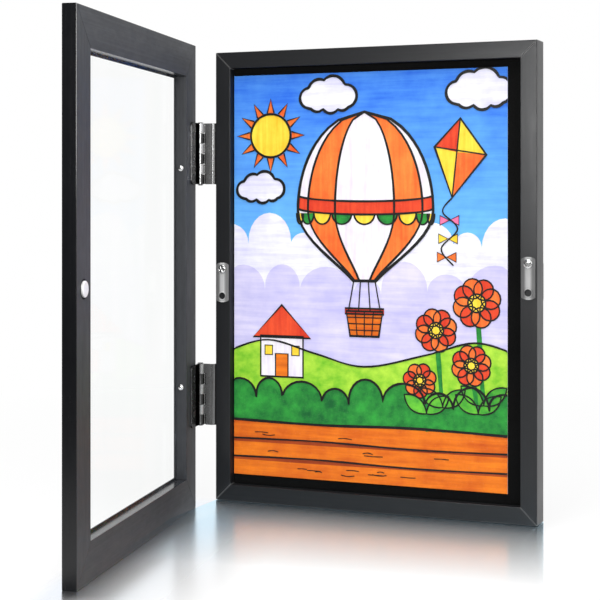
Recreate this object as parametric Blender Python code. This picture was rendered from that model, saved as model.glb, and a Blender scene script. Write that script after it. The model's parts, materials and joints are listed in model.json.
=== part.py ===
"""A front-opening poster frame for A4 sheets: a shadow box with a glazed door on two butt hinges.

Run it with: blender --background --python part.py
Lengths are in metres, +Z is up and the front of the box faces -Y. It is built with the box's
underside at Z 0 and its middle depth at Y 0, with the door shut. Then the door's pivot is turned
to stand it open, and everything is moved so that the origin lies on the wall, at the middle of
the bottom rail's back.
"""

import math

import bmesh
import bpy
from mathutils import Matrix, Vector

X_AXIS = Vector((1, 0, 0))
Y_AXIS = Vector((0, 1, 0))
Z_AXIS = Vector((0, 0, 1))

# Clearances that every piece shares
SEAT_GAP = 0.0003
MITRE_GAP = 0.0003
OVERRUN = 0.001

# Sheet of artwork and the black margin round it
SHEET_WIDTH = 0.210
SHEET_HEIGHT = 0.297
SHEET_THICKNESS = 0.0004
SHEET_SETBACK = 0.006
LEFT_MARGIN = 0.0006
RIGHT_MARGIN = 0.0104
TOP_MARGIN = 0.0055
BOTTOM_MARGIN = 0.0075

# Box
BOX_FACE = 0.012
BOX_DEPTH = 0.018
BOX_EDGE_RADIUS = 0.0006
PANEL_THICKNESS = 0.003
PANEL_LAP = 0.005

# Flexible points that hold the back panel
POINT_THICKNESS = 0.0005
POINT_WIDTH = 0.008
POINT_REACH = 0.007
POINT_BITE = 0.003
POINT_COVER = 0.0011
STILE_POINT_SHARES = (-0.27, 0.27)

# V-shaped corner nails
CORNER_NAIL_THICKNESS = 0.0006
CORNER_NAIL_WING = 0.005
CORNER_NAIL_DEPTH = 0.010

# Door
DOOR_OVERHANG = 0.005
DOOR_FACE = 0.0245
DOOR_THICKNESS = 0.0094
DOOR_EDGE_RADIUS = 0.0006
LIP_THICKNESS = 0.0012
LIP_WIDTH = 0.0018
PANE_THICKNESS = 0.001
OPEN_ANGLE = math.radians(79)

# Turn clips on the box stiles
CLIP_WIDTH = 0.010
CLIP_HOLE_SPREAD = 0.020
CLIP_END_MARGIN = 0.0048
CLIP_END_RISE = 0.0014
CLIP_CORNER_RADIUS = 0.0012
CLIP_THICKNESS = 0.0008
CLIP_CROWN = 0.0003
LEFT_CLIP_RISE = -0.0045
RIGHT_CLIP_RISE = 0.003
CLIP_HOLE_RADIUS = 0.0026
CLIP_LIP_WIDTH = 0.0008
CLIP_LIP_RISE = 0.0005
CLIP_HEAD_RISE = 0.0010
CLIP_HEAD_RADIUS = 0.0031
CLIP_SHANK_RADIUS = 0.0013
CLIP_SHANK_LENGTH = 0.009
CLIP_RECESS_ARM = 0.0044
CLIP_RECESS_TURN = math.radians(25)

# Magnet in the door's free stile
MAGNET_RADIUS = 0.005
MAGNET_SINK = 0.002
MAGNET_RISE = 0.004
MAGNET_EDGE = 0.0004

# Round-head pins that hold the pane
PANE_PIN_HEAD_RADIUS = 0.0023
PANE_PIN_HEAD_RISE = 0.0014
PANE_PIN_SHANK_RADIUS = 0.0006
PANE_PIN_SHANK_LENGTH = 0.006
PANE_PIN_SPREAD = 0.160

# Hinges
HINGE_HEIGHT = 0.0456
HINGE_SPREAD = 0.180
HINGE_RISE = 0.0015
HINGE_REACH = 0.012
HINGE_PIN_RADIUS = 0.0016
HINGE_PIN_HEAD_WIDTH = 0.0008
HINGE_PIN_HEAD_RISE = 0.0007
LEAF_THICKNESS = 0.0012
LEAF_LAP = 0.0105
LEAF_BEND_RADIUS = 0.0026
LEAF_CORNER_RADIUS = 0.003
KNUCKLE_COUNT = 6
KNUCKLE_GAP = 0.0003
KNUCKLE_ROOT = 0.0005
COMB_CLEARANCE = 0.0011
TOOTH_INSET = 0.0001
HINGE_SCREW_SPREAD = 0.026
HINGE_SCREW_HEAD_RADIUS = 0.0023
HINGE_SCREW_HEAD_DEPTH = 0.001
HINGE_SCREW_SHANK_RADIUS = 0.0011
HINGE_SCREW_LENGTH = 0.0075
HINGE_RECESS_ARM = 0.0032

# Cross recess in a screw's head
RECESS_SLOT = 0.0008
RECESS_DEPTH = 0.0006

# Sawtooth hangers on the back
HANGER_LENGTH = 0.044
HANGER_HEIGHT = 0.0062
HANGER_THICKNESS = 0.0008
HANGER_RISE = 0.0012
HANGER_FOOT = 0.008
HANGER_SLOPE = 0.002
HANGER_TOOTH_COUNT = 8
HANGER_TOOTH_DEPTH = 0.0016
HANGER_NAIL_RADIUS = 0.0007
HANGER_NAIL_LENGTH = 0.006
HANGER_NAIL_HEAD_RADIUS = 0.0016
HANGER_NAIL_HEAD_RISE = 0.0006

# Facet counts
ROUND_FACETS = 24
SMALL_FACETS = 14
CORNER_FACETS = 2
BEND_FACETS = 5
DOME_FACETS = 3
CROWN_FACETS = 8

# Sizes worked out from the ones above
OPENING_WIDTH = LEFT_MARGIN + SHEET_WIDTH + RIGHT_MARGIN
OPENING_HEIGHT = TOP_MARGIN + SHEET_HEIGHT + BOTTOM_MARGIN
BOX_WIDTH = OPENING_WIDTH + 2 * BOX_FACE
BOX_HEIGHT = OPENING_HEIGHT + 2 * BOX_FACE
BOX_FRONT = -BOX_DEPTH / 2
BOX_BACK = BOX_DEPTH / 2
MIDDLE = BOX_HEIGHT / 2
BACK_LAND = BOX_FACE - PANEL_LAP
RABBET_DEPTH = 2 * SEAT_GAP + PANEL_THICKNESS + POINT_THICKNESS + POINT_COVER
PANEL_FRONT = BOX_BACK - RABBET_DEPTH + SEAT_GAP
POINT_FRONT = PANEL_FRONT + PANEL_THICKNESS + SEAT_GAP
SHEET_FRONT = BOX_FRONT + SHEET_SETBACK
CLIP_FACE = CLIP_THICKNESS + CLIP_CROWN
CLOSING_GAP = 3 * SEAT_GAP + CLIP_FACE + CLIP_HEAD_RISE
MAGNET_PROUD = CLOSING_GAP - 2 * SEAT_GAP - CLIP_FACE
DOOR_INNER = BOX_FRONT - CLOSING_GAP
DOOR_RABBET = DOOR_THICKNESS - LIP_THICKNESS
PANE_INNER = DOOR_RABBET - SEAT_GAP - PANE_THICKNESS
KNUCKLE_BORE = HINGE_PIN_RADIUS + SEAT_GAP
KNUCKLE_RADIUS = KNUCKLE_BORE + LEAF_THICKNESS
HINGE_AXIS = Vector((
    -BOX_WIDTH / 2 - HINGE_REACH,
    DOOR_INNER + SEAT_GAP + LEAF_THICKNESS + SEAT_GAP / 2,
    MIDDLE + HINGE_RISE,
))
WALL_POINT = Vector((0, BOX_BACK, BACK_LAND / 2))

# Colour, roughness and metallic value of each finish
FINISHES = {
    "charcoal_wrap": ((0.052, 0.054, 0.058, 1), 0.45, 0),
    "black_hardboard": ((0.020, 0.020, 0.021, 1), 0.80, 0),
    "black_foam": ((0.008, 0.008, 0.009, 1), 0.90, 0),
    "art_paper": ((0.55, 0.68, 0.72, 1), 0.70, 0),
    "clear_acrylic": ((0.92, 0.95, 0.96, 0.2), 0.05, 0),
    "brushed_steel": ((0.62, 0.62, 0.61, 1), 0.32, 1),
    "hinge_steel": ((0.50, 0.50, 0.50, 1), 0.30, 1),
    "zinc_fastener": ((0.66, 0.66, 0.64, 1), 0.28, 1),
    "nickel_magnet": ((0.78, 0.78, 0.77, 1), 0.15, 1),
}


# Modelling helpers
def clear_scene():
    """Remove every object of the open scene."""
    for old in list(bpy.data.objects):
        bpy.data.objects.remove(old, do_unlink=True)


def finish(name):
    """The material of one finish, made when it is first asked for."""
    found = bpy.data.materials.get(name)
    if found:
        return found
    colour, roughness, metallic = FINISHES[name]
    made = bpy.data.materials.new(name)
    made.use_nodes = True
    shader = made.node_tree.nodes["Principled BSDF"]
    shader.inputs["Base Color"].default_value = colour
    shader.inputs["Alpha"].default_value = colour[3]
    shader.inputs["Roughness"].default_value = roughness
    shader.inputs["Metallic"].default_value = metallic
    made.diffuse_color = colour
    return made


def mesh_from(bm):
    """A mesh with its faces turned outwards, from a bmesh that is then freed."""
    bmesh.ops.recalc_face_normals(bm, faces=bm.faces)
    mesh = bpy.data.meshes.new("shape")
    bm.to_mesh(mesh)
    bm.free()
    return mesh


def rounded(points, radii):
    """An outline with an arc in place of each corner that has a radius."""
    outline = []
    for index, radius in enumerate(radii):
        corner = Vector(points[index])
        if not radius:
            outline.append(corner)
            continue
        before = (Vector(points[index - 1]) - corner).normalized()
        after = (Vector(points[(index + 1) % len(points)]) - corner).normalized()
        half_angle = before.angle(after) / 2
        centre = corner + (before + after).normalized() * radius / math.sin(half_angle)
        start = corner + before * radius / math.tan(half_angle) - centre
        end = corner + after * radius / math.tan(half_angle) - centre
        sweep = start.angle_signed(end)
        steps = BEND_FACETS if radius > BOX_EDGE_RADIUS else CORNER_FACETS
        for step in range(steps + 1):
            turn = Matrix.Rotation(-sweep * step / steps, 2)
            outline.append(centre + turn @ start)
    return outline


def prism(outline, height, start=0):
    """A closed prism: an outline in local X and Y, from local Z start to start + height."""
    bm = bmesh.new()
    corners = [bm.verts.new((point[0], point[1], start)) for point in outline]
    base = bm.faces.new(corners)
    lifted = bmesh.ops.extrude_face_region(bm, geom=[base])["geom"]
    tops = [item for item in lifted if isinstance(item, bmesh.types.BMVert)]
    bmesh.ops.translate(bm, verts=tops, vec=(0, 0, height))
    return mesh_from(bm)


def block(width, depth, height):
    """A closed box, centred on local X and Y, that rises from local Z 0."""
    outline = [
        (-width / 2, -depth / 2),
        (width / 2, -depth / 2),
        (width / 2, depth / 2),
        (-width / 2, depth / 2),
    ]
    return prism(outline, height)


def revolved(profile, facets=ROUND_FACETS):
    """A closed round body: (radius, height) pairs turned round local Z.

    A profile that starts and ends on the axis makes a solid, and any other makes a ring.
    """
    bm = bmesh.new()
    loops = []
    for radius, height in profile:
        if radius:
            loops.append([
                bm.verts.new((radius * math.cos(turn), radius * math.sin(turn), height))
                for turn in (math.tau * step / facets for step in range(facets))
            ])
        else:
            loops.append([bm.verts.new((0, 0, height))])
    pairs = list(zip(loops, loops[1:]))
    if profile[0][0]:
        pairs.append((loops[-1], loops[0]))
    for lower, upper in pairs:
        for step in range(facets):
            following = (step + 1) % facets
            ends = [lower[step % len(lower)], lower[following % len(lower)]]
            ends += [upper[following % len(upper)], upper[step % len(upper)]]
            bm.faces.new(list(dict.fromkeys(ends)))
    return mesh_from(bm)


def merged(shapes):
    """One mesh from (mesh, matrix) pairs that keep clear of each other."""
    bm = bmesh.new()
    for mesh, matrix in shapes:
        moved = mesh.copy()
        moved.transform(matrix)
        bm.from_mesh(moved)
        bpy.data.meshes.remove(moved)
    return mesh_from(bm)


def combined(base, tool, operation):
    """The mesh that a Boolean modifier makes from two meshes in the same axes."""
    holder = bpy.data.objects.new("holder", base)
    cutter = bpy.data.objects.new("cutter", tool)
    for item in (holder, cutter):
        bpy.context.scene.collection.objects.link(item)
    modifier = holder.modifiers.new("combine", "BOOLEAN")
    modifier.operation = operation
    modifier.solver = "EXACT"
    modifier.object = cutter
    depsgraph = bpy.context.evaluated_depsgraph_get()
    result = bpy.data.meshes.new_from_object(holder.evaluated_get(depsgraph))
    for item in (holder, cutter):
        bpy.data.objects.remove(item, do_unlink=True)
    return result


def axes(position, out, along):
    """A placing matrix whose local Z points out and whose local X points along."""
    side = out.cross(along)
    turn = Matrix((along, side, out)).transposed()
    return Matrix.Translation(position) @ turn.to_4x4()


def piece(name, mesh, finish_name, matrix):
    """A named sub-part, placed by its matrix."""
    made = bpy.data.objects.new(name, mesh)
    made.data.name = name
    bpy.context.scene.collection.objects.link(made)
    made.matrix_basis = matrix
    made.data.materials.clear()
    made.data.materials.append(finish(finish_name))
    return made


def carve(target, tools):
    """Cut (mesh, matrix) tools, placed in the closed frame, out of one sub-part."""
    back = target.matrix_basis.inverted()
    tool = merged([(mesh, back @ matrix) for mesh, matrix in tools])
    cut = combined(target.data, tool, "DIFFERENCE")
    cut.name = target.name
    target.data = cut


def hang_on(pivot, pieces):
    """Parent pieces that are modelled with the door shut to the door's pivot."""
    for item in pieces:
        item.parent = pivot
        item.location = item.location - pivot.location


# Mitred members, shared by the box and the door
def members(prefix, profile, front, depth, overhang=0):
    """Four members cut from one profile, whose local X runs in and whose local Y runs deep.

    Their outer edges stand overhang beyond those of the box on every side.
    """
    width = BOX_WIDTH + 2 * overhang
    height = BOX_HEIGHT + 2 * overhang
    layout = {
        "left_stile": (X_AXIS, -width / 2, MIDDLE, height),
        "right_stile": (-X_AXIS, width / 2, MIDDLE, height),
        "top_rail": (-Z_AXIS, 0, MIDDLE + height / 2, width),
        "bottom_rail": (Z_AXIS, 0, MIDDLE - height / 2, width),
    }
    made = {}
    for name, (inward, x, z, length) in layout.items():
        mesh = mitred(profile, length)
        matrix = axes(Vector((x, front, z)), inward.cross(depth), inward)
        made[name] = piece(f"{prefix}_{name}", mesh, "charcoal_wrap", matrix)
    return made


def mitred(profile, length):
    """A profile swept along local Z, with both ends cut at 45 degrees."""
    trim = MITRE_GAP / math.sqrt(2)
    bm = bmesh.new()
    ends = []
    for side in (-1, 1):
        ends.append([
            bm.verts.new((inward, deep, side * (length / 2 - trim - inward)))
            for inward, deep in profile
        ])
    for loop in ends:
        bm.faces.new(loop)
    count = len(profile)
    for index in range(count):
        following = (index + 1) % count
        bm.faces.new((ends[0][index], ends[0][following], ends[1][following], ends[1][index]))
    return mesh_from(bm)


# Box
def build_box():
    """The four mitred members of the box, rabbeted behind for the back panel."""
    ledge = BOX_DEPTH - RABBET_DEPTH
    corners = [
        (0, 0),
        (BOX_FACE, 0),
        (BOX_FACE, ledge),
        (BACK_LAND, ledge),
        (BACK_LAND, BOX_DEPTH),
        (0, BOX_DEPTH),
    ]
    edge = BOX_EDGE_RADIUS
    profile = rounded(corners, (edge, edge, 0, 0, 0, edge))
    return members("box", profile, BOX_FRONT, Y_AXIS)


def build_contents():
    """The back panel, the foam pad and the sheet of artwork in front of it."""
    panel = block(
        OPENING_WIDTH + 2 * (PANEL_LAP - SEAT_GAP),
        PANEL_THICKNESS,
        OPENING_HEIGHT + 2 * (PANEL_LAP - SEAT_GAP),
    )
    panel_base = BACK_LAND + SEAT_GAP
    place = Matrix.Translation((0, PANEL_FRONT + PANEL_THICKNESS / 2, panel_base))
    piece("back_panel", panel, "black_hardboard", place)

    pad_front = SHEET_FRONT + SHEET_THICKNESS + SEAT_GAP
    pad_back = BOX_BACK - RABBET_DEPTH
    pad_thickness = pad_back - pad_front
    pad = block(OPENING_WIDTH - 2 * SEAT_GAP, pad_thickness, OPENING_HEIGHT - 2 * SEAT_GAP)
    place = Matrix.Translation((0, pad_front + pad_thickness / 2, BOX_FACE + SEAT_GAP))
    piece("foam_pad", pad, "black_foam", place)

    sheet = block(SHEET_WIDTH, SHEET_THICKNESS, SHEET_HEIGHT)
    sheet_middle = (LEFT_MARGIN - RIGHT_MARGIN) / 2
    place = Matrix.Translation((
        sheet_middle,
        SHEET_FRONT + SHEET_THICKNESS / 2,
        BOX_FACE + BOTTOM_MARGIN,
    ))
    piece("art_sheet", sheet, "art_paper", place)


def point_places():
    """Name, member, seat on the rabbet's wall and inward direction of each flexible point."""
    wall = BOX_WIDTH / 2 - BACK_LAND
    places = []
    for side, inward in (("left", X_AXIS), ("right", -X_AXIS)):
        for level, share in zip(("lower", "upper"), STILE_POINT_SHARES):
            seat = -inward * wall + Z_AXIS * (MIDDLE + share * BOX_HEIGHT)
            places.append((f"panel_point_{side}_{level}", f"{side}_stile", seat, inward))
    places.append(("panel_point_bottom", "bottom_rail", Z_AXIS * BACK_LAND, Z_AXIS))
    top = Z_AXIS * (BOX_HEIGHT - BACK_LAND)
    places.append(("panel_point_top", "top_rail", top, -Z_AXIS))
    return places


def build_points(box):
    """Spring-steel points, driven into the rabbet's wall and bent over the panel's edge."""
    slot = block(
        POINT_WIDTH + 2 * SEAT_GAP,
        POINT_THICKNESS + 2 * SEAT_GAP,
        POINT_BITE + SEAT_GAP + OVERRUN,
    )
    half = POINT_WIDTH / 2
    outline = rounded(
        [
            (-half, -POINT_BITE),
            (half, -POINT_BITE),
            (half, POINT_REACH),
            (-half, POINT_REACH),
        ],
        (0, 0, half / 2, half / 2),
    )
    for name, member, seat, inward in point_places():
        middle = seat + Y_AXIS * (POINT_FRONT + POINT_THICKNESS / 2)
        along = Y_AXIS.cross(inward)
        slot_start = middle - inward * (POINT_BITE + SEAT_GAP)
        carve(box[member], [(slot, axes(slot_start, inward, along))])
        blade = prism(outline, POINT_THICKNESS, -POINT_THICKNESS / 2)
        piece(name, blade, "zinc_fastener", axes(middle, Y_AXIS, inward.cross(Y_AXIS)))


def corner_nail_outline(grow):
    """A right-angled V round the mitre, thickened on each side by grow."""
    half = CORNER_NAIL_THICKNESS / 2 + grow
    wing = CORNER_NAIL_WING + grow
    return [
        (-half, -half),
        (wing, -half),
        (wing, half),
        (half, half),
        (half, wing),
        (-half, wing),
    ]


def build_corner_nails(box):
    """V-shaped nails sunk into the back of each mitre, one wing in each member."""
    nail = prism(corner_nail_outline(0), CORNER_NAIL_DEPTH)
    pocket = prism(
        corner_nail_outline(SEAT_GAP),
        CORNER_NAIL_DEPTH + 2 * SEAT_GAP + OVERRUN,
        -SEAT_GAP,
    )
    apex_in = BACK_LAND / 2
    start = BOX_BACK - SEAT_GAP - CORNER_NAIL_DEPTH
    for side, across in (("left", X_AXIS), ("right", -X_AXIS)):
        for level, upright in (("bottom", Z_AXIS), ("top", -Z_AXIS)):
            edge = 0 if level == "bottom" else BOX_HEIGHT
            apex = -across * (BOX_WIDTH / 2 - apex_in) + Z_AXIS * edge + upright * apex_in
            along = upright if upright.cross(across) == Y_AXIS else across
            place = axes(apex + Y_AXIS * start, Y_AXIS, along)
            carve(box[f"{side}_stile"], [(pocket, place)])
            carve(box[f"{level}_rail"], [(pocket, place)])
            piece(f"corner_nail_{level}_{side}", nail.copy(), "zinc_fastener", place)


# Fasteners
def recess_tool(reach):
    """A cross of two arms as long as reach, from the recess's foot up past local Z 0."""
    arm = block(reach, RECESS_SLOT, RECESS_DEPTH + OVERRUN)
    crossed = Matrix.Rotation(math.pi / 2, 4, "Z")
    other = arm.copy()
    other.transform(crossed)
    cross = combined(arm, other, "UNION")
    cross.transform(Matrix.Translation((0, 0, -RECESS_DEPTH)))
    return cross


def pan_head_screw(seat):
    """A pan-head screw whose head sits at local Z 0 and whose shank starts seat below it."""
    radius = CLIP_HEAD_RADIUS
    rise = CLIP_HEAD_RISE
    shank = CLIP_SHANK_RADIUS
    tip = -seat - CLIP_SHANK_LENGTH
    profile = [
        (0, tip),
        (shank, tip + 2 * shank),
        (shank, 0),
        (radius, 0),
        (radius, rise / 2),
        (radius - rise / 4, rise * 3 / 4),
        (radius - rise, rise),
        (0, rise),
    ]
    tool = recess_tool(CLIP_RECESS_ARM)
    turn = Matrix.Rotation(CLIP_RECESS_TURN, 4, "Z")
    tool.transform(Matrix.Translation((0, 0, rise)) @ turn)
    return combined(revolved(profile), tool, "DIFFERENCE")


def countersunk_screw():
    """A flush screw whose head's top lies at local Z 0."""
    radius = HINGE_SCREW_HEAD_RADIUS
    shank = HINGE_SCREW_SHANK_RADIUS
    profile = [
        (0, -HINGE_SCREW_LENGTH),
        (shank, 2 * shank - HINGE_SCREW_LENGTH),
        (shank, -HINGE_SCREW_HEAD_DEPTH),
        (radius, 0),
        (0, 0),
    ]
    tool = recess_tool(HINGE_RECESS_ARM)
    return combined(revolved(profile, SMALL_FACETS), tool, "DIFFERENCE")


def countersunk_hole():
    """The tool that leaves a flush screw its clearance in a leaf and in the wood behind."""
    mouth = HINGE_SCREW_HEAD_RADIUS + SEAT_GAP
    bore = HINGE_SCREW_SHANK_RADIUS + SEAT_GAP
    profile = [
        (0, -HINGE_SCREW_LENGTH - SEAT_GAP),
        (bore, -HINGE_SCREW_LENGTH - SEAT_GAP),
        (bore, -HINGE_SCREW_HEAD_DEPTH),
        (mouth, 0),
        (mouth, OVERRUN),
        (0, OVERRUN),
    ]
    return revolved(profile, SMALL_FACETS)


def headed_pin(head_radius, head_rise, shank_radius, shank_length):
    """A round-head pin whose head's underside lies at local Z 0."""
    profile = [(0, -shank_length), (shank_radius, -shank_length + shank_radius)]
    profile += [(shank_radius, 0), (head_radius, 0)]
    for step in range(1, DOME_FACETS):
        turn = math.pi / 2 * step / DOME_FACETS
        profile.append((head_radius * math.cos(turn), head_rise * math.sin(turn)))
    profile.append((0, head_rise))
    return revolved(profile, SMALL_FACETS)


def bore_tool(radius, depth):
    """A plain hole that goes depth below local Z 0."""
    profile = [(0, -depth), (radius, -depth), (radius, OVERRUN), (0, OVERRUN)]
    return revolved(profile, SMALL_FACETS)


# Turn clips
def clip_outline():
    """A strip with bowed ends, from its pivot at the origin down along local -Y."""
    half = CLIP_WIDTH / 2
    bow = (half ** 2 + CLIP_END_RISE ** 2) / (2 * CLIP_END_RISE)
    spread = math.asin(half / bow)
    points = []
    radii = []
    for middle, side in ((0, 1), (-CLIP_HOLE_SPREAD, -1)):
        centre = middle + side * (CLIP_END_MARGIN - bow)
        for step in range(BEND_FACETS + 1):
            turn = spread * (1 - 2 * step / BEND_FACETS)
            points.append((side * bow * math.sin(turn), centre + side * bow * math.cos(turn)))
            radii.append(CLIP_CORNER_RADIUS if step in (0, BEND_FACETS) else 0)
    return rounded(points, radii)


def crowned_bar():
    """A bar along local Y with the clip's bowed cross-section, its edges at local Z 0."""
    half = CLIP_WIDTH / 2 + OVERRUN
    bow = ((CLIP_WIDTH / 2) ** 2 + CLIP_CROWN ** 2) / (2 * CLIP_CROWN)
    across = [half * (2 * step / CROWN_FACETS - 1) for step in range(CROWN_FACETS + 1)]
    under = [(x, math.sqrt(bow ** 2 - x ** 2) - bow + CLIP_CROWN) for x in across]
    over = [(x, rise + CLIP_THICKNESS) for x, rise in reversed(under)]
    reach = CLIP_HOLE_SPREAD / 2 + CLIP_END_MARGIN + OVERRUN
    bar = prism(under + over, 2 * reach, -reach)
    middle = Vector((0, -CLIP_HOLE_SPREAD / 2, 0))
    bar.transform(axes(middle, -Y_AXIS, X_AXIS))
    return bar


def clip_mesh():
    """The crowned strip with its pivot hole and a finger hole in a raised lip."""
    tall = CLIP_FACE + 2 * OVERRUN
    blank = combined(crowned_bar(), prism(clip_outline(), tall, -OVERRUN), "INTERSECT")
    lip_radius = CLIP_HOLE_RADIUS + CLIP_LIP_WIDTH
    lip_foot = CLIP_CROWN + CLIP_THICKNESS / 2
    lip_top = CLIP_FACE + CLIP_LIP_RISE
    lip = revolved([
        (0, lip_foot),
        (lip_radius, lip_foot),
        (lip_radius, lip_top - CLIP_LIP_RISE / 2),
        (lip_radius - CLIP_LIP_RISE / 2, lip_top),
        (0, lip_top),
    ])
    lip.transform(Matrix.Translation((0, -CLIP_HOLE_SPREAD, 0)))
    raised = combined(blank, lip, "UNION")
    pivot_hole = bore_tool(CLIP_SHANK_RADIUS + SEAT_GAP, lip_top + OVERRUN)
    finger_hole = bore_tool(CLIP_HOLE_RADIUS, lip_top + OVERRUN)
    top = Z_AXIS * lip_top
    holes = merged([
        (pivot_hole, Matrix.Translation(top)),
        (finger_hole, Matrix.Translation(top - Y_AXIS * CLIP_HOLE_SPREAD)),
    ])
    return combined(raised, holes, "DIFFERENCE")


def build_clips(box):
    """A steel clip on each stile, free to turn on the screw at its upper end."""
    clip = clip_mesh()
    seat = SEAT_GAP + CLIP_FACE + SEAT_GAP
    screw = pan_head_screw(seat)
    pilot = bore_tool(CLIP_SHANK_RADIUS + SEAT_GAP, CLIP_SHANK_LENGTH + SEAT_GAP)
    reach = (BOX_WIDTH - BOX_FACE) / 2
    for side, x, rise in (("left", -reach, LEFT_CLIP_RISE), ("right", reach, RIGHT_CLIP_RISE)):
        face = Vector((x, BOX_FRONT, MIDDLE + rise + CLIP_HOLE_SPREAD / 2))
        carve(box[f"{side}_stile"], [(pilot, axes(face, -Y_AXIS, X_AXIS))])
        clip_back = face - Y_AXIS * SEAT_GAP
        piece(f"turn_clip_{side}", clip.copy(), "brushed_steel", axes(clip_back, -Y_AXIS, X_AXIS))
        head = face - Y_AXIS * seat
        piece(f"clip_screw_{side}", screw.copy(), "zinc_fastener", axes(head, -Y_AXIS, X_AXIS))


# Sawtooth hangers
def hanger_sections():
    """Place along the strip, lower edge and lift of each section of the hanger."""
    half = HANGER_LENGTH / 2
    raised = half - HANGER_FOOT - HANGER_SLOPE
    low = -HANGER_HEIGHT / 2
    pitch = 2 * raised / HANGER_TOOTH_COUNT
    sections = [(-half, low, 0), (-half + HANGER_FOOT, low, 0), (-raised, low, HANGER_RISE)]
    for tooth in range(HANGER_TOOTH_COUNT):
        start = -raised + tooth * pitch
        sections.append((start + pitch / 2, low + HANGER_TOOTH_DEPTH, HANGER_RISE))
        sections.append((start + pitch, low, HANGER_RISE))
    sections += [(half - HANGER_FOOT, low, 0), (half, low, 0)]
    return sections


def hanger_mesh():
    """A strip with a raised, toothed bridge and a nail hole in each foot."""
    bm = bmesh.new()
    loops = []
    for along, low, lift in hanger_sections():
        loops.append([
            bm.verts.new((along, low, lift)),
            bm.verts.new((along, HANGER_HEIGHT / 2, lift)),
            bm.verts.new((along, HANGER_HEIGHT / 2, lift + HANGER_THICKNESS)),
            bm.verts.new((along, low, lift + HANGER_THICKNESS)),
        ])
    bm.faces.new(loops[0])
    bm.faces.new(loops[-1])
    for first, second in zip(loops, loops[1:]):
        for side in range(4):
            following = (side + 1) % 4
            bm.faces.new((first[side], first[following], second[following], second[side]))
    strip = mesh_from(bm)
    hole = bore_tool(HANGER_NAIL_RADIUS + SEAT_GAP, HANGER_THICKNESS + OVERRUN)
    top = Z_AXIS * HANGER_THICKNESS
    places = [X_AXIS * side * hanger_nail_reach() for side in (-1, 1)]
    holes = merged([(hole, Matrix.Translation(top + place)) for place in places])
    return combined(strip, holes, "DIFFERENCE")


def hanger_nail_reach():
    """How far each nail stands from the middle of its hanger."""
    return (HANGER_LENGTH - HANGER_FOOT) / 2


def build_hangers(box):
    """A hanger on the top rail to hang it upright, and one on a stile to hang it sideways."""
    hanger = hanger_mesh()
    nail = headed_pin(
        HANGER_NAIL_HEAD_RADIUS,
        HANGER_NAIL_HEAD_RISE,
        HANGER_NAIL_RADIUS,
        HANGER_NAIL_LENGTH,
    )
    pilot = bore_tool(HANGER_NAIL_RADIUS + SEAT_GAP, HANGER_NAIL_LENGTH)
    land = BACK_LAND / 2
    layout = {
        "top": ("top_rail", Vector((0, BOX_BACK, BOX_HEIGHT - land)), Z_AXIS),
        "side": ("right_stile", Vector((BOX_WIDTH / 2 - land, BOX_BACK, MIDDLE)), X_AXIS),
    }
    for name, (member, face, outward) in layout.items():
        along = outward.cross(Y_AXIS)
        seat = face + Y_AXIS * SEAT_GAP
        piece(f"sawtooth_hanger_{name}", hanger.copy(), "zinc_fastener", axes(seat, Y_AXIS, along))
        head = seat + Y_AXIS * (HANGER_THICKNESS + SEAT_GAP)
        for number, side in ((1, -1), (2, 1)):
            reach = along * side * hanger_nail_reach()
            carve(box[member], [(pilot, axes(face + reach, Y_AXIS, along))])
            place = axes(head + reach, Y_AXIS, along)
            piece(f"hanger_nail_{name}_{number}", nail.copy(), "zinc_fastener", place)


# Door
def build_door():
    """The door's four mitred members, rabbeted on the inner side for the pane, and the pane."""
    lip_edge = DOOR_FACE + LIP_WIDTH
    corners = [
        (0, 0),
        (DOOR_FACE, 0),
        (DOOR_FACE, DOOR_RABBET),
        (lip_edge, DOOR_RABBET),
        (lip_edge, DOOR_THICKNESS),
        (0, DOOR_THICKNESS),
    ]
    edge = DOOR_EDGE_RADIUS
    profile = rounded(corners, (edge, edge, 0, 0, edge, edge))
    door = members("door", profile, DOOR_INNER, -Y_AXIS, DOOR_OVERHANG)
    margin = DOOR_FACE - DOOR_OVERHANG + SEAT_GAP
    pane = block(BOX_WIDTH - 2 * margin, PANE_THICKNESS, BOX_HEIGHT - 2 * margin)
    middle = DOOR_INNER - PANE_INNER - PANE_THICKNESS / 2
    place = Matrix.Translation((0, middle, margin))
    door["pane"] = piece("door_pane", pane, "clear_acrylic", place)
    return door


def build_magnet(door):
    """A disc magnet sunk in the free stile, which the steel clip holds when the door is shut."""
    pocket = bore_tool(MAGNET_RADIUS + SEAT_GAP, MAGNET_SINK + SEAT_GAP)
    disc = revolved([
        (0, -MAGNET_SINK),
        (MAGNET_RADIUS, -MAGNET_SINK),
        (MAGNET_RADIUS, MAGNET_PROUD - MAGNET_EDGE),
        (MAGNET_RADIUS - MAGNET_EDGE, MAGNET_PROUD),
        (0, MAGNET_PROUD),
    ])
    reach = BOX_WIDTH / 2 + DOOR_OVERHANG - DOOR_FACE / 2
    face = Vector((reach, DOOR_INNER, MIDDLE + MAGNET_RISE))
    place = axes(face, Y_AXIS, X_AXIS)
    carve(door["right_stile"], [(pocket, place)])
    return piece("door_magnet", disc, "nickel_magnet", place)


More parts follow.
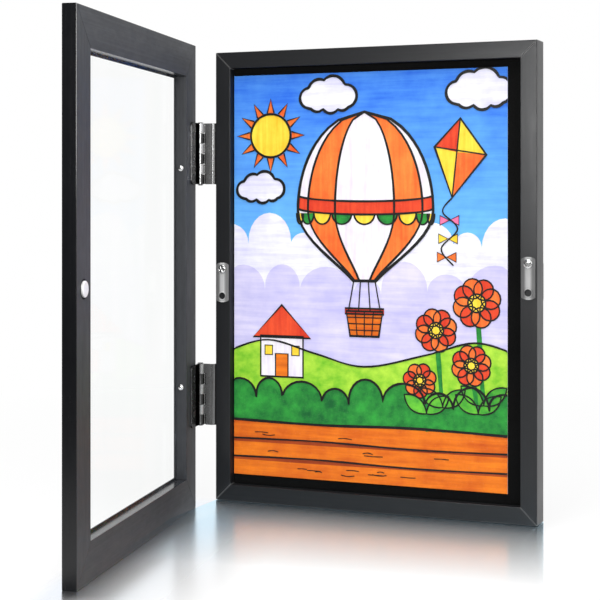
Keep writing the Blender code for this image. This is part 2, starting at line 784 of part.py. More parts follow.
def build_pane_pins(door):
    """Two pins in each stile, whose heads hold the pane against its lip."""
    pin = headed_pin(
        PANE_PIN_HEAD_RADIUS,
        PANE_PIN_HEAD_RISE,
        PANE_PIN_SHANK_RADIUS,
        PANE_PIN_SHANK_LENGTH,
    )
    pilot = bore_tool(PANE_PIN_SHANK_RADIUS + SEAT_GAP, PANE_PIN_SHANK_LENGTH)
    depth = DOOR_INNER - PANE_INNER + SEAT_GAP + PANE_PIN_HEAD_RADIUS
    reach = BOX_WIDTH / 2 + DOOR_OVERHANG - DOOR_FACE
    pins = []
    for side, inward in (("left", X_AXIS), ("right", -X_AXIS)):
        for level, sign in (("lower", -1), ("upper", 1)):
            height = MIDDLE + sign * PANE_PIN_SPREAD / 2
            wall = -inward * reach + Y_AXIS * depth + Z_AXIS * height
            carve(door[f"{side}_stile"], [(pilot, axes(wall, inward, Z_AXIS))])
            place = axes(wall + inward * SEAT_GAP, inward, Z_AXIS)
            pins.append(piece(f"pane_pin_{side}_{level}", pin.copy(), "zinc_fastener", place))
    return pins


# Hinges, modelled about their axis: local X to the box, local Y to the back and local Z up
def knuckles(rows):
    """The tubes of one leaf, in the rows that it holds, counted from the top."""
    pitch = HINGE_HEIGHT / KNUCKLE_COUNT
    length = pitch - KNUCKLE_GAP
    tube = revolved([
        (KNUCKLE_BORE, -length / 2),
        (KNUCKLE_RADIUS, -length / 2),
        (KNUCKLE_RADIUS, length / 2),
        (KNUCKLE_BORE, length / 2),
    ])
    return merged([(tube, Matrix.Translation(Z_AXIS * row_height(row))) for row in rows])


def row_height(row):
    """The middle of a knuckle's row above the middle of its hinge."""
    pitch = HINGE_HEIGHT / KNUCKLE_COUNT
    return HINGE_HEIGHT / 2 - pitch * (row + 1 / 2)


def comb(rows):
    """The tool that cuts a leaf back where the other leaf has its knuckles."""
    pitch = HINGE_HEIGHT / KNUCKLE_COUNT
    width = 2 * (KNUCKLE_RADIUS + COMB_CLEARANCE)
    notch = block(width, width, pitch + KNUCKLE_GAP + 2 * TOOTH_INSET)
    drop = pitch / 2 + KNUCKLE_GAP / 2 + TOOTH_INSET
    return merged([(notch, Matrix.Translation(Z_AXIS * (row_height(row) - drop))) for row in rows])


def leaf_mesh(outline, own_rows, other_rows, far_corners):
    """A leaf: its bent strip, cut back in a comb, with knuckles rolled on its own rows."""
    strip = prism(outline, HINGE_HEIGHT, -HINGE_HEIGHT / 2)
    bm = bmesh.new()
    bm.from_mesh(strip)
    chosen = [edge for edge in bm.edges if far_corners(edge)]
    bmesh.ops.bevel(
        bm,
        geom=chosen,
        offset=LEAF_CORNER_RADIUS,
        segments=BEND_FACETS,
        profile=0.5,
        affect="EDGES",
    )
    strip = mesh_from(bm)
    toothed = combined(strip, comb(other_rows), "DIFFERENCE")
    return combined(toothed, knuckles(own_rows), "UNION")


def box_leaf_outline():
    """The strip from the knuckles to the box, bent back along the box's side."""
    front = SEAT_GAP / 2
    outer = HINGE_REACH - SEAT_GAP
    inner = outer - LEAF_THICKNESS
    back = front + LEAF_LAP
    root = KNUCKLE_BORE + KNUCKLE_ROOT
    corners = [
        (root, front),
        (outer, front),
        (outer, back),
        (inner, back),
        (inner, front + LEAF_THICKNESS),
        (root, front + LEAF_THICKNESS),
    ]
    inside = LEAF_BEND_RADIUS - LEAF_THICKNESS
    return rounded(corners, (0, LEAF_BEND_RADIUS, 0, 0, inside, 0))


def door_leaf_outline():
    """The strip from the knuckles on to the inner face of the door."""
    back = -SEAT_GAP / 2
    front = back - LEAF_THICKNESS
    root = KNUCKLE_BORE + KNUCKLE_ROOT
    tip = HINGE_REACH + LEAF_LAP
    return [(root, front), (tip, front), (tip, back), (root, back)]


def is_far_corner(edge, index, place):
    """Whether an edge crosses the leaf's thickness at one place, at the top or the bottom end."""
    first, second = (corner.co for corner in edge.verts)
    at_place = abs(first[index] - place) < TOOTH_INSET and abs(second[index] - place) < TOOTH_INSET
    level = abs(first.z - second.z) < TOOTH_INSET
    return at_place and level


def hinge_pin_mesh():
    """A pin with a domed head past each end of the barrel."""
    half = HINGE_HEIGHT / 2 + SEAT_GAP
    head = HINGE_PIN_RADIUS + HINGE_PIN_HEAD_WIDTH
    upper = [(HINGE_PIN_RADIUS, half), (head, half)]
    for step in range(1, DOME_FACETS):
        turn = math.pi / 2 * step / DOME_FACETS
        upper.append((head * math.cos(turn), half + HINGE_PIN_HEAD_RISE * math.sin(turn)))
    upper.append((0, half + HINGE_PIN_HEAD_RISE))
    lower = [(radius, -height) for radius, height in reversed(upper)]
    return revolved(lower + upper, SMALL_FACETS)


def hinge_screws(hinge, leaf, matrices, holder, leaf_piece):
    """Flush screws through a leaf into the member behind it."""
    screw = countersunk_screw()
    hole = countersunk_hole()
    holes = [(hole, matrix) for matrix in matrices]
    carve(leaf_piece, holes)
    carve(holder, holes)
    made = []
    for level, matrix in zip(("lower", "upper"), matrices):
        name = f"{hinge}_{leaf}_screw_{level}"
        made.append(piece(name, screw.copy(), "zinc_fastener", matrix))
    return made


def build_hinge(name, height, box, door):
    """One hinge at a height above the middle of the door, and the pieces that its door leaf takes."""
    centre = HINGE_AXIS + Z_AXIS * height
    place = Matrix.Translation(centre)
    box_rows = range(0, KNUCKLE_COUNT, 2)
    door_rows = range(1, KNUCKLE_COUNT, 2)

    far = SEAT_GAP / 2 + LEAF_LAP
    leaf = leaf_mesh(box_leaf_outline(), box_rows, door_rows, lambda edge: is_far_corner(edge, 1, far))
    box_leaf = piece(f"{name}_box_leaf", leaf, "hinge_steel", place)
    tip = HINGE_REACH + LEAF_LAP
    leaf = leaf_mesh(door_leaf_outline(), door_rows, box_rows, lambda edge: is_far_corner(edge, 0, tip))
    door_leaf = piece(f"{name}_door_leaf", leaf, "hinge_steel", place)
    piece(f"{name}_pin", hinge_pin_mesh(), "hinge_steel", place)

    steps = (-HINGE_SCREW_SPREAD / 2, HINGE_SCREW_SPREAD / 2)
    side = X_AXIS * (HINGE_REACH - SEAT_GAP - LEAF_THICKNESS) + Y_AXIS * (far + LEAF_THICKNESS) / 2
    places = [axes(centre + side + Z_AXIS * step, -X_AXIS, Z_AXIS) for step in steps]
    hinge_screws(name, "box", places, box["left_stile"], box_leaf)
    face = X_AXIS * (HINGE_REACH + LEAF_LAP / 2) - Y_AXIS * SEAT_GAP / 2
    places = [axes(centre + face + Z_AXIS * step, Y_AXIS, Z_AXIS) for step in steps]
    screws = hinge_screws(name, "door", places, door["left_stile"], door_leaf)
    return [door_leaf, *screws]


# Assembly
def main():
    """Build the box and the door, stand the door open and move all of it to the wall."""
    clear_scene()
    box = build_box()
    build_contents()
    build_points(box)
    build_corner_nails(box)
    build_clips(box)
    build_hangers(box)

    door = build_door()
    on_door = [build_magnet(door)]
    on_door += build_pane_pins(door)
    on_door += build_hinge("upper_hinge", HINGE_SPREAD / 2, box, door)
    on_door += build_hinge("lower_hinge", -HINGE_SPREAD / 2, box, door)

    pivot = bpy.data.objects.new("door_pivot", None)
    bpy.context.scene.collection.objects.link(pivot)
    pivot.location = HINGE_AXIS
    hang_on(pivot, [*door.values(), *on_door])
    pivot.rotation_euler.z = -OPEN_ANGLE
    for item in bpy.data.objects:
        if item.parent is None:
            item.location -= WALL_POINT


main()
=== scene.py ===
"""Looks for the front-opening poster frame: finishes, artwork, camera, light and floor.

Lengths are in metres, in the frame of the CAD model: the wall is the plane Y 0, the front of the
box faces -Y, +Z is up and the origin lies at the middle of the bottom rail's back.
"""

import json
import math
import random

import bpy
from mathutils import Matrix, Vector
from mathutils.geometry import tessellate_polygon


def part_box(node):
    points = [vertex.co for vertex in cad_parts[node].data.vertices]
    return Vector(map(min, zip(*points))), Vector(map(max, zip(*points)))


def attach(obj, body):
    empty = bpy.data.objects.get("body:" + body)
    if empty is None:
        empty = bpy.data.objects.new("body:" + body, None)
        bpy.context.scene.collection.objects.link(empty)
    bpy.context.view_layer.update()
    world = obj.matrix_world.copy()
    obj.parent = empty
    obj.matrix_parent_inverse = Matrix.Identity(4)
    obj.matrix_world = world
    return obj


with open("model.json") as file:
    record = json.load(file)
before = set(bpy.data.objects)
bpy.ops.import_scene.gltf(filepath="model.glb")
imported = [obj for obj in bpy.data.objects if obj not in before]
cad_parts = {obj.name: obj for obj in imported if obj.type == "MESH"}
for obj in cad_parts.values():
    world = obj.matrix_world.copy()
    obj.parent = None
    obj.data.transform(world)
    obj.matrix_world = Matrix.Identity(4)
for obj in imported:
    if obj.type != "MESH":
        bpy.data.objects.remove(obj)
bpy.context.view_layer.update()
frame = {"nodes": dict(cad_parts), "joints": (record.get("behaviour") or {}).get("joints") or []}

MILLIMETRE = 0.001

# Camera, fitted to the corners of the box and the door in the photograph
CAMERA_PLACE = (0.38328, -1.05279, 0.21936)
CAMERA_TURN = math.radians(22.91)
CAMERA_LENS = 92.27
CAMERA_SENSOR = 36
CAMERA_SHIFT = -0.16428
CAMERA_NEAR = 0.05

# Places in the CAD model: the box's stile and rails, the door, the hinges, clips and magnet
joints = {joint["name"]: joint for joint in frame["joints"]}
stile_low, stile_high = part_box("box_right_stile")
leaf_low, leaf_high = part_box("lower_hinge_box_leaf")
magnet_low, magnet_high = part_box("door_magnet")
BOX_LOW, BOX_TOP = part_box("box_bottom_rail")[0].z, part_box("box_top_rail")[1].z
BOX_FRONT = stile_low.y
BOX_WALL, BOX_HALF_WIDTH = stile_low.x, stile_high.x
DOOR_LOW, DOOR_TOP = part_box("door_bottom_rail")[0].z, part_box("door_top_rail")[1].z
DOOR_MIDDLE, DOOR_HALF_HEIGHT = (DOOR_TOP + DOOR_LOW) / 2, (DOOR_TOP - DOOR_LOW) / 2
DOOR_HALF_WIDTH = BOX_HALF_WIDTH + DOOR_TOP - BOX_TOP
DOOR_MEMBER = 0.0245
WINDOW_HALF_HEIGHT = DOOR_HALF_HEIGHT - DOOR_MEMBER
DOOR_TURN = math.radians(-joints["door_hinge"]["range_deg"][0])
HINGE_AXIS = (*joints["door_hinge"]["pos_m"][:2], 0)
HINGE_LOW = leaf_low.z
HINGE_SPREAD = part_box("upper_hinge_box_leaf")[0].z - leaf_low.z
KNUCKLES = 6
KNUCKLE_PITCH = (leaf_high.z - leaf_low.z) / KNUCKLES
LEAF_END = -0.0417
LEAF_BEND = (-0.1256, -0.1250)
CLIP_OFFSET = joints["turn_clip_right_pivot"]["pos_m"][0]
MAGNET_RADIUS = (magnet_high.z - magnet_low.z) / 2
MAGNET_PLACE = (0.11525, (magnet_high.z + magnet_low.z) / 2)

# Dark strips behind the box leaves' combs, as painted shade in their slots
SLOT_SHADE_SIDES = (-0.13164, -0.1299)
SLOT_SHADE_THICKNESS = 0.0003
SLOT_SHADE_INSET = 0.0002

# Streaks a metre along X, Y and Z in each kind of finish
LEVEL_GRAIN = (5.0, 620.0, 620.0)
UPRIGHT_GRAIN = (620.0, 620.0, 5.0)
BRUSHED_GRAIN = (2600.0, 200.0, 60.0)
DRAWN_GRAIN = (300.0, 300.0, 60.0)
TURNED_GRAIN = (500.0, 500.0, 500.0)
ACROSS_SHEET = (18.0, 1.0, 260.0)
DOWN_SHEET = (260.0, 1.0, 18.0)
ROUND_LEAVES = (120.0, 1.0, 120.0)

# The charcoal foil: its darkest and lightest shade, and what box and door multiply them by:
# darker on the box as painted shade and lighter on the door as painted light
FOIL_DARK = (0.0085, 0.0090, 0.0102, 1)
FOIL_LIGHT = (0.0160, 0.0166, 0.0180, 1)
BOX_FOIL_PAINTED_SHADE = (0.72, 0.74, 0.78, 1)
DOOR_FOIL_PAINTED_LIGHT = (1.80, 1.88, 2.02, 1)
NEAR_BLACK = (0.0022, 0.0025, 0.0034, 1)
FOIL_SPAN = (0.36, 0.64)
FOIL_SPECULAR = 0.5
SHADED_SPECULAR = 0.10
RING_SPECULAR = 0.05
SMOOTH_EDGE_DROP = 0.33

# Where a finish changes, as the distances over which it fades in; the door's edges, the ring round
# the magnet, the clips' flanks and the knuckles fade into painted shade, and the knuckles' joints
# into a painted highlight
EDGE_FADE = (0.0006, 0.0003)
WINDOW_FADE = (0.0004, 0.0002)
WALL_FADE = (0.00005, 0.0002)
RING_FADE = (0.0015, 0.0009)
MITRE_FADE = (0.0009, 0.0004)
FLANK_FADE = (0.0008, 0.0034)
KNUCKLE_SHADE_FADE = (0.0010, 0.0005)
JOINT_HIGHLIGHT_FADE = (0.0003, 0.0006)
DOOR_FACE_DEPTH = 0.003

# What painted shade on metal multiplies its colour by, and how far smudges change a metal's roughness
METAL_SHADE_TONE = 0.06
FLANK_SHADE_TONE = 0.36
SMUDGE = 0.04

# How far the floor mirrors the box, at its left and right ends, and the door, and in what tint
GLOSS_REACH = (0.196, 0.163)
DOOR_GLOSS_REACH = 0.090
BOX_TINT = (0.72, 0.90, 1.0, 1)
DOOR_TINT = (0.90, 0.94, 1.0, 1)
MIRROR_ROUGHNESS = 0.20

# How the reflections thin out away from the box and the door, and when seen from above
BOX_MIRROR_FALL = 0.9
DOOR_MIRROR_FALL = 1.2
LOW_VIEW_FADE = (0.2, 0.74)
STEEP_SHARE = 0.1

# Where the door's reflection fades, behind the door, and along it at the hinge and the far end,
# how strong it is at the door's foot, and how far under the foot it is strongest
BEHIND_DOOR_FADE = (-0.03, -0.014)
HINGE_END_FADE = (-0.03, 0.0)
FAR_END_FADE = (0.33, 0.265)
DOOR_MIRROR_SHARE = 0.98
DOOR_FOOT_LAP = -0.002

# The floor: its size, how its glow takes over from its lit white further from the frame, and how
# far below the box the clear sheet lies that carries its reflection
FLOOR_REACH = 6.0
FLOOR_WHITE = 0.9
GLOW_FADE = (0.25, 0.8)
GLOW_SHARES = (0.82, 1.0)
GLOSS_DROP = 0.0003

# Smoothing: edges sharper than this stay creased, and corners nearer than this are joined
SHARP_ANGLE = math.radians(34)
WELD_DISTANCE = 0.000004

# Light: levels of the surroundings, and softboxes as azimuth from the front (right is positive),
# rise, distance, width, height and power
FRONT_LEVEL = 0.1
BACK_LEVEL = 0.75
RIGHT_LEVEL = 1.2
TO_THE_RIGHT = (0.25, 0.85)
TO_THE_BACK = (-0.2, 0.45)
FLOOR_GLOW = 0.7
FLOOR_DIM = (-0.75, -0.32)
LIGHT_AIM = (0.0, -0.05, 0.16)
SOFTBOXES = {
    "light_top": (10, 66, 1.9, 1.6, 1.4, 32.0),
    "light_near": (7, 16, 0.56, 0.16, 0.16, 1.45),
    "light_right": (58, 20, 1.9, 0.9, 1.2, 5.0),
}


# Node helpers
class Graph:
    """The node tree of one material, or of the world, written as short calls."""

    def __init__(self, name, owner=None):
        self.owner = owner or bpy.data.materials.new(name)
        self.owner.use_nodes = True
        self.tree = self.owner.node_tree
        self.tree.nodes.clear()

    def node(self, kind, inputs=None, **settings):
        """A node with its settings; each input is a socket to link or a value to set."""
        made = self.tree.nodes.new("ShaderNode" + kind)
        for key, value in settings.items():
            setattr(made, key, value)
        for key, value in (inputs or {}).items():
            if isinstance(value, bpy.types.NodeSocket):
                self.tree.links.new(value, made.inputs[key])
            else:
                made.inputs[key].default_value = value
        return made

    def place(self):
        """The shaded point in its object's own frame, which is the model's."""
        return self.node("TexCoord").outputs["Object"]

    def split(self, vector):
        """A vector's three parts."""
        return self.node("SeparateXYZ", {0: vector}).outputs

    def math(self, operation, first, second=0.0):
        return self.node("Math", {0: first, 1: second}, operation=operation).outputs[0]

    def weighed(self, first, weight, second, second_weight):
        """The sum of two values, each times its weight."""
        return self.math(
            "ADD", self.math("MULTIPLY", first, weight), self.math("MULTIPLY", second, second_weight)
        )

    def mix(self, share, first, second, blend="MIX"):
        """Two colours mixed by a share."""
        made = self.node("Mix", {0: share, 6: first, 7: second}, data_type="RGBA", blend_type=blend)
        return made.outputs[2]

    def mix_values(self, share, first, second):
        """Two numbers mixed by a share."""
        return self.node("Mix", {0: share, 2: first, 3: second}).outputs[0]

    def remap(self, value, low, high, new_low=0.0, new_high=1.0, way="LINEAR"):
        """The new low at low, the new high at high, and no further."""
        inputs = {"Value": value, "From Min": low, "From Max": high}
        inputs.update({"To Min": new_low, "To Max": new_high})
        return self.node("MapRange", inputs, clamp=True, interpolation_type=way).outputs[0]

    def eased(self, value, low, high, new_low=0.0, new_high=1.0):
        """A remap with soft ends."""
        return self.remap(value, low, high, new_low, new_high, "SMOOTHSTEP")

    def scaled(self, vector, scale):
        return self.node("VectorMath", {0: vector, 1: scale}, operation="MULTIPLY").outputs[0]

    def noise(self, vector, scale, detail=3.0, roughness=0.5):
        inputs = {"Vector": vector, "Scale": scale, "Detail": detail, "Roughness": roughness}
        return self.node("TexNoise", inputs).outputs[0]

    def bump(self, height, strength, distance):
        inputs = {"Height": height, "Strength": strength, "Distance": distance}
        return self.node("Bump", inputs).outputs[0]

    def done(self, shader, output="OutputMaterial"):
        """Ends the tree with a shader and returns the material or the world."""
        self.tree.links.new(shader.outputs[0], self.node(output).inputs[0])
        return self.owner


def grey(value):
    return (value, value, value, 1.0)


def srgb(red, green, blue):
    """A linear colour from 0 to 255 values."""
    shares = [channel / 255 for channel in (red, green, blue)]
    linear = [s / 12.92 if s <= 0.04045 else ((s + 0.055) / 1.055) ** 2.4 for s in shares]
    return (*linear, 1.0)


def mesh_object(name, vertices, faces, materials):
    """A new mesh in the scene, with its materials."""
    mesh = bpy.data.meshes.new(name)
    mesh.from_pydata(vertices, [], faces)
    for material in materials:
        mesh.materials.append(material)
    made = bpy.data.objects.new(name, mesh)
    bpy.context.scene.collection.objects.link(made)
    return made


# Finishes
def charcoal(name, stretch, on_door, is_rail, relief=0.14):
    """Charcoal foil over wood: a fine streak along the member and faint clouding.

    The box's mitres are worn and its uprights' inner walls are flatter. The door's edges and the
    ring round its magnet are nearly black as painted shade; the box's foil is darker as painted
    shade and the door's lighter as painted light.
    """
    g = Graph(name)
    place = g.place()
    if on_door:
        turned = {"Vector": place, "Center": HINGE_AXIS, "Angle": DOOR_TURN}
        place = g.node("VectorRotate", turned, rotation_type="Z_AXIS").outputs[0]
    streak = g.noise(g.scaled(place, stretch), 1.0, 5.0, 0.62)
    coarse = g.noise(g.scaled(place, [0.35 * rate + 90.0 for rate in stretch]), 1.0, 3.0, 0.6)
    cloud = g.noise(place, 26.0, 3.0, 0.55)
    speckle = g.noise(place, 1700.0, 3.0, 0.65)
    share = g.weighed(streak, 0.45, coarse, 0.35)
    share = g.math("ADD", share, g.math("MULTIPLY", cloud, 0.20))
    colour = g.mix(g.remap(share, *FOIL_SPAN), FOIL_DARK, FOIL_LIGHT)
    specular = FOIL_SPECULAR
    if on_door:
        # Painted light: the door's foil is made lighter than the box's
        colour = g.mix(1.0, colour, DOOR_FOIL_PAINTED_LIGHT, "MULTIPLY")
        # Painted shade: the door's four outer edges are mixed to near black
        edge = door_edge_shade(g, place)
        colour = g.mix(edge, colour, NEAR_BLACK)
        roughness = g.remap(share, *FOIL_SPAN, 0.62, 0.52)
        smooth = g.math("MAXIMUM", edge, window_edge(g, place)) if is_rail else edge
        roughness = g.math("SUBTRACT", roughness, g.math("MULTIPLY", smooth, SMOOTH_EDGE_DROP))
    else:
        # Painted shade: the box's foil is made darker than the door's
        colour = g.mix(1.0, colour, BOX_FOIL_PAINTED_SHADE, "MULTIPLY")
        colour = g.mix(worn_mitre(g, place), colour, grey(0.10))
        roughness = g.remap(share, *FOIL_SPAN, 0.44, 0.34)
    if on_door and not is_rail:
        # Painted shade: a near black ring with little gloss round the magnet
        ring = magnet_ring_shade(g, place)
        colour = g.mix(ring, colour, NEAR_BLACK)
        specular = g.remap(ring, 0.0, 1.0, FOIL_SPECULAR, RING_SPECULAR)
    elif not is_rail:
        off_middle = g.math("ABSOLUTE", g.split(place)[0])
        start, full = (BOX_WALL + fade for fade in WALL_FADE)
        specular = g.remap(off_middle, start, full, SHADED_SPECULAR, FOIL_SPECULAR)
    height = g.weighed(share, 0.6, speckle, 0.4)
    shader = g.node("BsdfPrincipled", {
        "Base Color": colour,
        "Roughness": roughness,
        "Specular IOR Level": specular,
        "Normal": g.bump(height, relief, 0.00008),
    })
    return g.done(shader)


def door_edge_shade(g, place):
    """1 on the door's four outer edges, made blacker than its faces as painted shade."""
    split = g.split(place)
    off_middle = g.math("ABSOLUTE", g.math("SUBTRACT", split[2], DOOR_MIDDLE))
    at_side = g.remap(g.math("ABSOLUTE", split[0]), *(DOOR_HALF_WIDTH - fade for fade in EDGE_FADE))
    at_end = g.remap(off_middle, *(DOOR_HALF_HEIGHT - fade for fade in EDGE_FADE))
    return g.math("MAXIMUM", at_side, at_end)


def window_edge(g, place):
    """1 on the faces of the door's rails that border its window, whose foil is smoother."""
    off_middle = g.math("SUBTRACT", g.split(place)[2], DOOR_MIDDLE)
    return g.remap(
        g.math("ABSOLUTE", off_middle), *(WINDOW_HALF_HEIGHT + fade for fade in WINDOW_FADE)
    )


def magnet_ring_shade(g, place):
    """1 in the dark ring round the magnet, on the door's inner face, which is painted shade."""
    split = g.split(place)
    across = g.math("SUBTRACT", split[0], MAGNET_PLACE[0])
    above = g.math("SUBTRACT", split[2], MAGNET_PLACE[1])
    away = g.math("SQRT", g.weighed(across, across, above, above))
    near = g.remap(away, *(MAGNET_RADIUS + fade for fade in RING_FADE))
    on_face = g.math("GREATER_THAN", split[1], HINGE_AXIS[1] - DOOR_FACE_DEPTH)
    return g.math("MULTIPLY", near, on_face)


def worn_mitre(g, place):
    """1 along the 45 degree joints of the box, where the foil's pale core shows."""
    split = g.split(place)
    in_from_side = g.math("SUBTRACT", BOX_HALF_WIDTH, g.math("ABSOLUTE", split[0]))
    middle = (BOX_TOP + BOX_LOW) / 2
    above_middle = g.math("ABSOLUTE", g.math("SUBTRACT", split[2], middle))
    in_from_end = g.math("SUBTRACT", (BOX_TOP - BOX_LOW) / 2, above_middle)
    off_joint = g.math("ABSOLUTE", g.math("SUBTRACT", in_from_side, in_from_end))
    return g.remap(off_joint, *MITRE_FADE)


def plain_dark(name, low, high, grain, roughness, depth, shine=0.5):
    """A dark board with a felted or fibrous grain."""
    g = Graph(name)
    place = g.place()
    fibre = g.noise(g.scaled(place, grain), 1.0, 6.0, 0.65)
    cloud = g.noise(place, 40.0, 4.0, 0.6)
    share = g.weighed(fibre, 0.6, cloud, 0.4)
    shader = g.node("BsdfPrincipled", {
        "Base Color": g.mix(g.remap(share, 0.35, 0.65), low, high),
        "Roughness": g.remap(fibre, 0.3, 0.7, roughness + 0.05, roughness - 0.05),
        "Specular IOR Level": shine,
        "Normal": g.bump(fibre, 0.35, depth),
    })
    return g.done(shader)


def metal(
    name, low, high, stretch, roughness, depth=0.05, reach=0.002, grime=0.35,
    toned=None, rim=1.0, shine=1.0,
):
    """A metal with drawn streaks, small pits, smudges in its roughness and painted shade in its
    corners.

    The painted corner shade lies within reach of a corner. The pair toned says where the
    metal takes painted shade and to what tone; rim is the tint of its gloss there.
    """
    g = Graph(name)
    place = g.place()
    streak = g.noise(g.scaled(place, stretch), 1.0, 5.0, 0.6)
    pits = g.noise(place, 900.0, 3.0, 0.6)
    cloud = g.noise(place, 120.0, 3.0, 0.5)
    height = g.weighed(streak, 0.7, pits, 0.3)
    varied = g.remap(cloud, 0.3, 0.7, roughness - SMUDGE, roughness + SMUDGE)
    # Painted shade: the colour darkens towards grey 0.03 near a corner that the AO node finds
    corner = g.node("AmbientOcclusion", {"Distance": reach}, samples=8).outputs["AO"]
    corner = g.math("MULTIPLY", g.remap(corner, 0.90, 0.55), grime)
    colour = g.mix(g.remap(streak, 0.3, 0.7), low, high)
    tint = grey(1.0)
    # Painted shade: the colour darkens to its tone, and its gloss takes the rim tint, where the mask
    # is 1
    if toned:
        shade_mask, tone = toned
        share = shade_mask(g, place)
        colour = g.mix(share, colour, g.mix(1.0, colour, grey(tone), "MULTIPLY"))
        if rim < 1.0:
            tint = g.mix(share, tint, grey(rim))
    shader = g.node("BsdfPrincipled", {
        "Base Color": g.mix(corner, colour, grey(0.03)),
        "Metallic": shine,
        "Roughness": varied,
        "Specular Tint": tint,
        "Normal": g.bump(height, depth, 0.00003),
    })
    return g.done(shader)


def clip_flank_shade(g, place):
    """0 along the middle of a turn clip, 1 along its flanks, which are darkened as painted shade."""
    off_wall = g.math("ABSOLUTE", g.split(place)[0])
    across = g.math("ABSOLUTE", g.math("SUBTRACT", off_wall, CLIP_OFFSET))
    return g.eased(across, *FLANK_FADE)


def knuckle_side_shade(g, place):
    """1 on the knuckles' side towards the door as painted shade, less at joints as a painted
    highlight.
    """
    split = g.split(place)
    outward = g.math("SUBTRACT", split[0], HINGE_AXIS[0])
    side = g.remap(outward, *KNUCKLE_SHADE_FADE)
    upper = g.math("GREATER_THAN", split[2], DOOR_MIDDLE)
    foot = g.math("ADD", g.math("MULTIPLY", upper, HINGE_SPREAD), HINGE_LOW)
    off_joint = g.math("PINGPONG", g.math("SUBTRACT", split[2], foot), KNUCKLE_PITCH / 2)
    return g.math("MULTIPLY", side, g.remap(off_joint, *JOINT_HIGHLIGHT_FADE, 0.3, 1.0))


def shade_on_box_leaf(g, place):
    """Painted shade on the knuckles, and somewhat less on the bend by the box."""
    bend = g.remap(g.split(place)[0], *LEAF_BEND, 0.0, 0.62)
    return g.math("MAXIMUM", knuckle_side_shade(g, place), bend)


def shade_on_door_leaf(g, place):
    """Painted shade on the knuckles, on their side towards the box too, and on the leaf within its
    edge, which stays bright as a painted highlight.
    """
    split = g.split(place)
    inward = g.remap(g.math("SUBTRACT", split[0], HINGE_AXIS[0]), 0.0014, 0.0019, 0.70, 1.0)
    by_pin = g.remap(split[1], HINGE_AXIS[1] - 0.0034, HINGE_AXIS[1] - 0.0030)
    knuckle = g.math("MAXIMUM", knuckle_side_shade(g, place), inward)
    within_edge = g.remap(split[1], LEAF_END + 0.0001, LEAF_END + 0.0005, 0.0, 0.78)
    shaded = g.math("MAXIMUM", within_edge, g.eased(split[1], LEAF_END + 0.002, LEAF_END + 0.012))
    return g.mix_values(by_pin, shaded, knuckle)


def acrylic(name):
    """Clear sheet with a faint cool tint, a soft reflection and the lightest of wipe marks."""
    g = Graph(name)
    place = g.place()
    wipe = g.noise(g.scaled(place, (30.0, 30.0, 6.0)), 1.0, 4.0, 0.6)
    tint = g.mix(g.remap(wipe, 0.3, 0.7), (0.996, 0.998, 0.997, 1), (0.985, 0.991, 0.989, 1))
    clear = g.node("BsdfTransparent", {"Color": tint})
    gloss = g.node("BsdfPrincipled", {
        "Base Color": (0.80, 0.85, 0.86, 1),
        "Metallic": 1.0,
        "Roughness": g.remap(wipe, 0.3, 0.7, 0.03, 0.07),
    })
    fresnel = g.node("Fresnel", {"IOR": 1.28}).outputs[0]
    share = g.math("MULTIPLY", fresnel, 0.03)
    mixed = g.node("MixShader", {0: share, 1: clear.outputs[0], 2: gloss.outputs[0]})
    return g.done(mixed)


def paper(name):
    """White drawing paper with tooth."""
    g = Graph(name)
    place = g.place()
    tooth = g.noise(place, 1500.0, 4.0, 0.6)
    shader = g.node("BsdfPrincipled", {
        "Base Color": g.mix(g.remap(tooth, 0.3, 0.7), grey(0.86), grey(0.80)),
        "Roughness": g.remap(tooth, 0.3, 0.7, 0.75, 0.9),
        "Normal": g.bump(tooth, 0.3, 0.00008),
    })
    return g.done(shader)


def marker(name, light, dark, along, fade=None):
    """Marker and wash: strokes along one way, pooled patches and, if asked, a fade with height."""
    g = Graph(name)
    place = g.place()
    stroke = g.noise(g.scaled(place, along), 1.0, 4.0, 0.6)
    pool = g.noise(place, 42.0, 4.0, 0.6)
    tooth = g.noise(place, 1500.0, 4.0, 0.6)
    share = g.remap(g.weighed(stroke, 0.5, pool, 0.5), 0.36, 0.64)
    if fade:
        low, high, weight = fade
        share = g.weighed(share, 1 - weight, g.remap(g.split(place)[2], low, high), weight)
    colour = g.mix(share, light, dark)
    colour = g.mix(g.remap(tooth, 0.60, 0.78, 0.0, 0.10), colour, grey(0.9))
    shader = g.node("BsdfPrincipled", {
        "Base Color": colour,
        "Roughness": g.remap(tooth, 0.3, 0.7, 0.6, 0.8),
        "Specular IOR Level": 0.3,
        "Normal": g.bump(tooth, 0.25, 0.00008),
    })
    return g.done(shader)


def ink(name):
    """Black marker line, a little thin where the paper's tooth shows through."""
    g = Graph(name)
    place = g.place()
    tooth = g.noise(place, 1300.0, 3.0, 0.6)
    shader = g.node("BsdfPrincipled", {
        "Base Color": g.mix(g.remap(tooth, 0.60, 0.78), grey(0.006), grey(0.05)),
        "Roughness": g.remap(tooth, 0.3, 0.7, 0.45, 0.6),
        "Specular IOR Level": 0.3,
    })
    return g.done(shader)


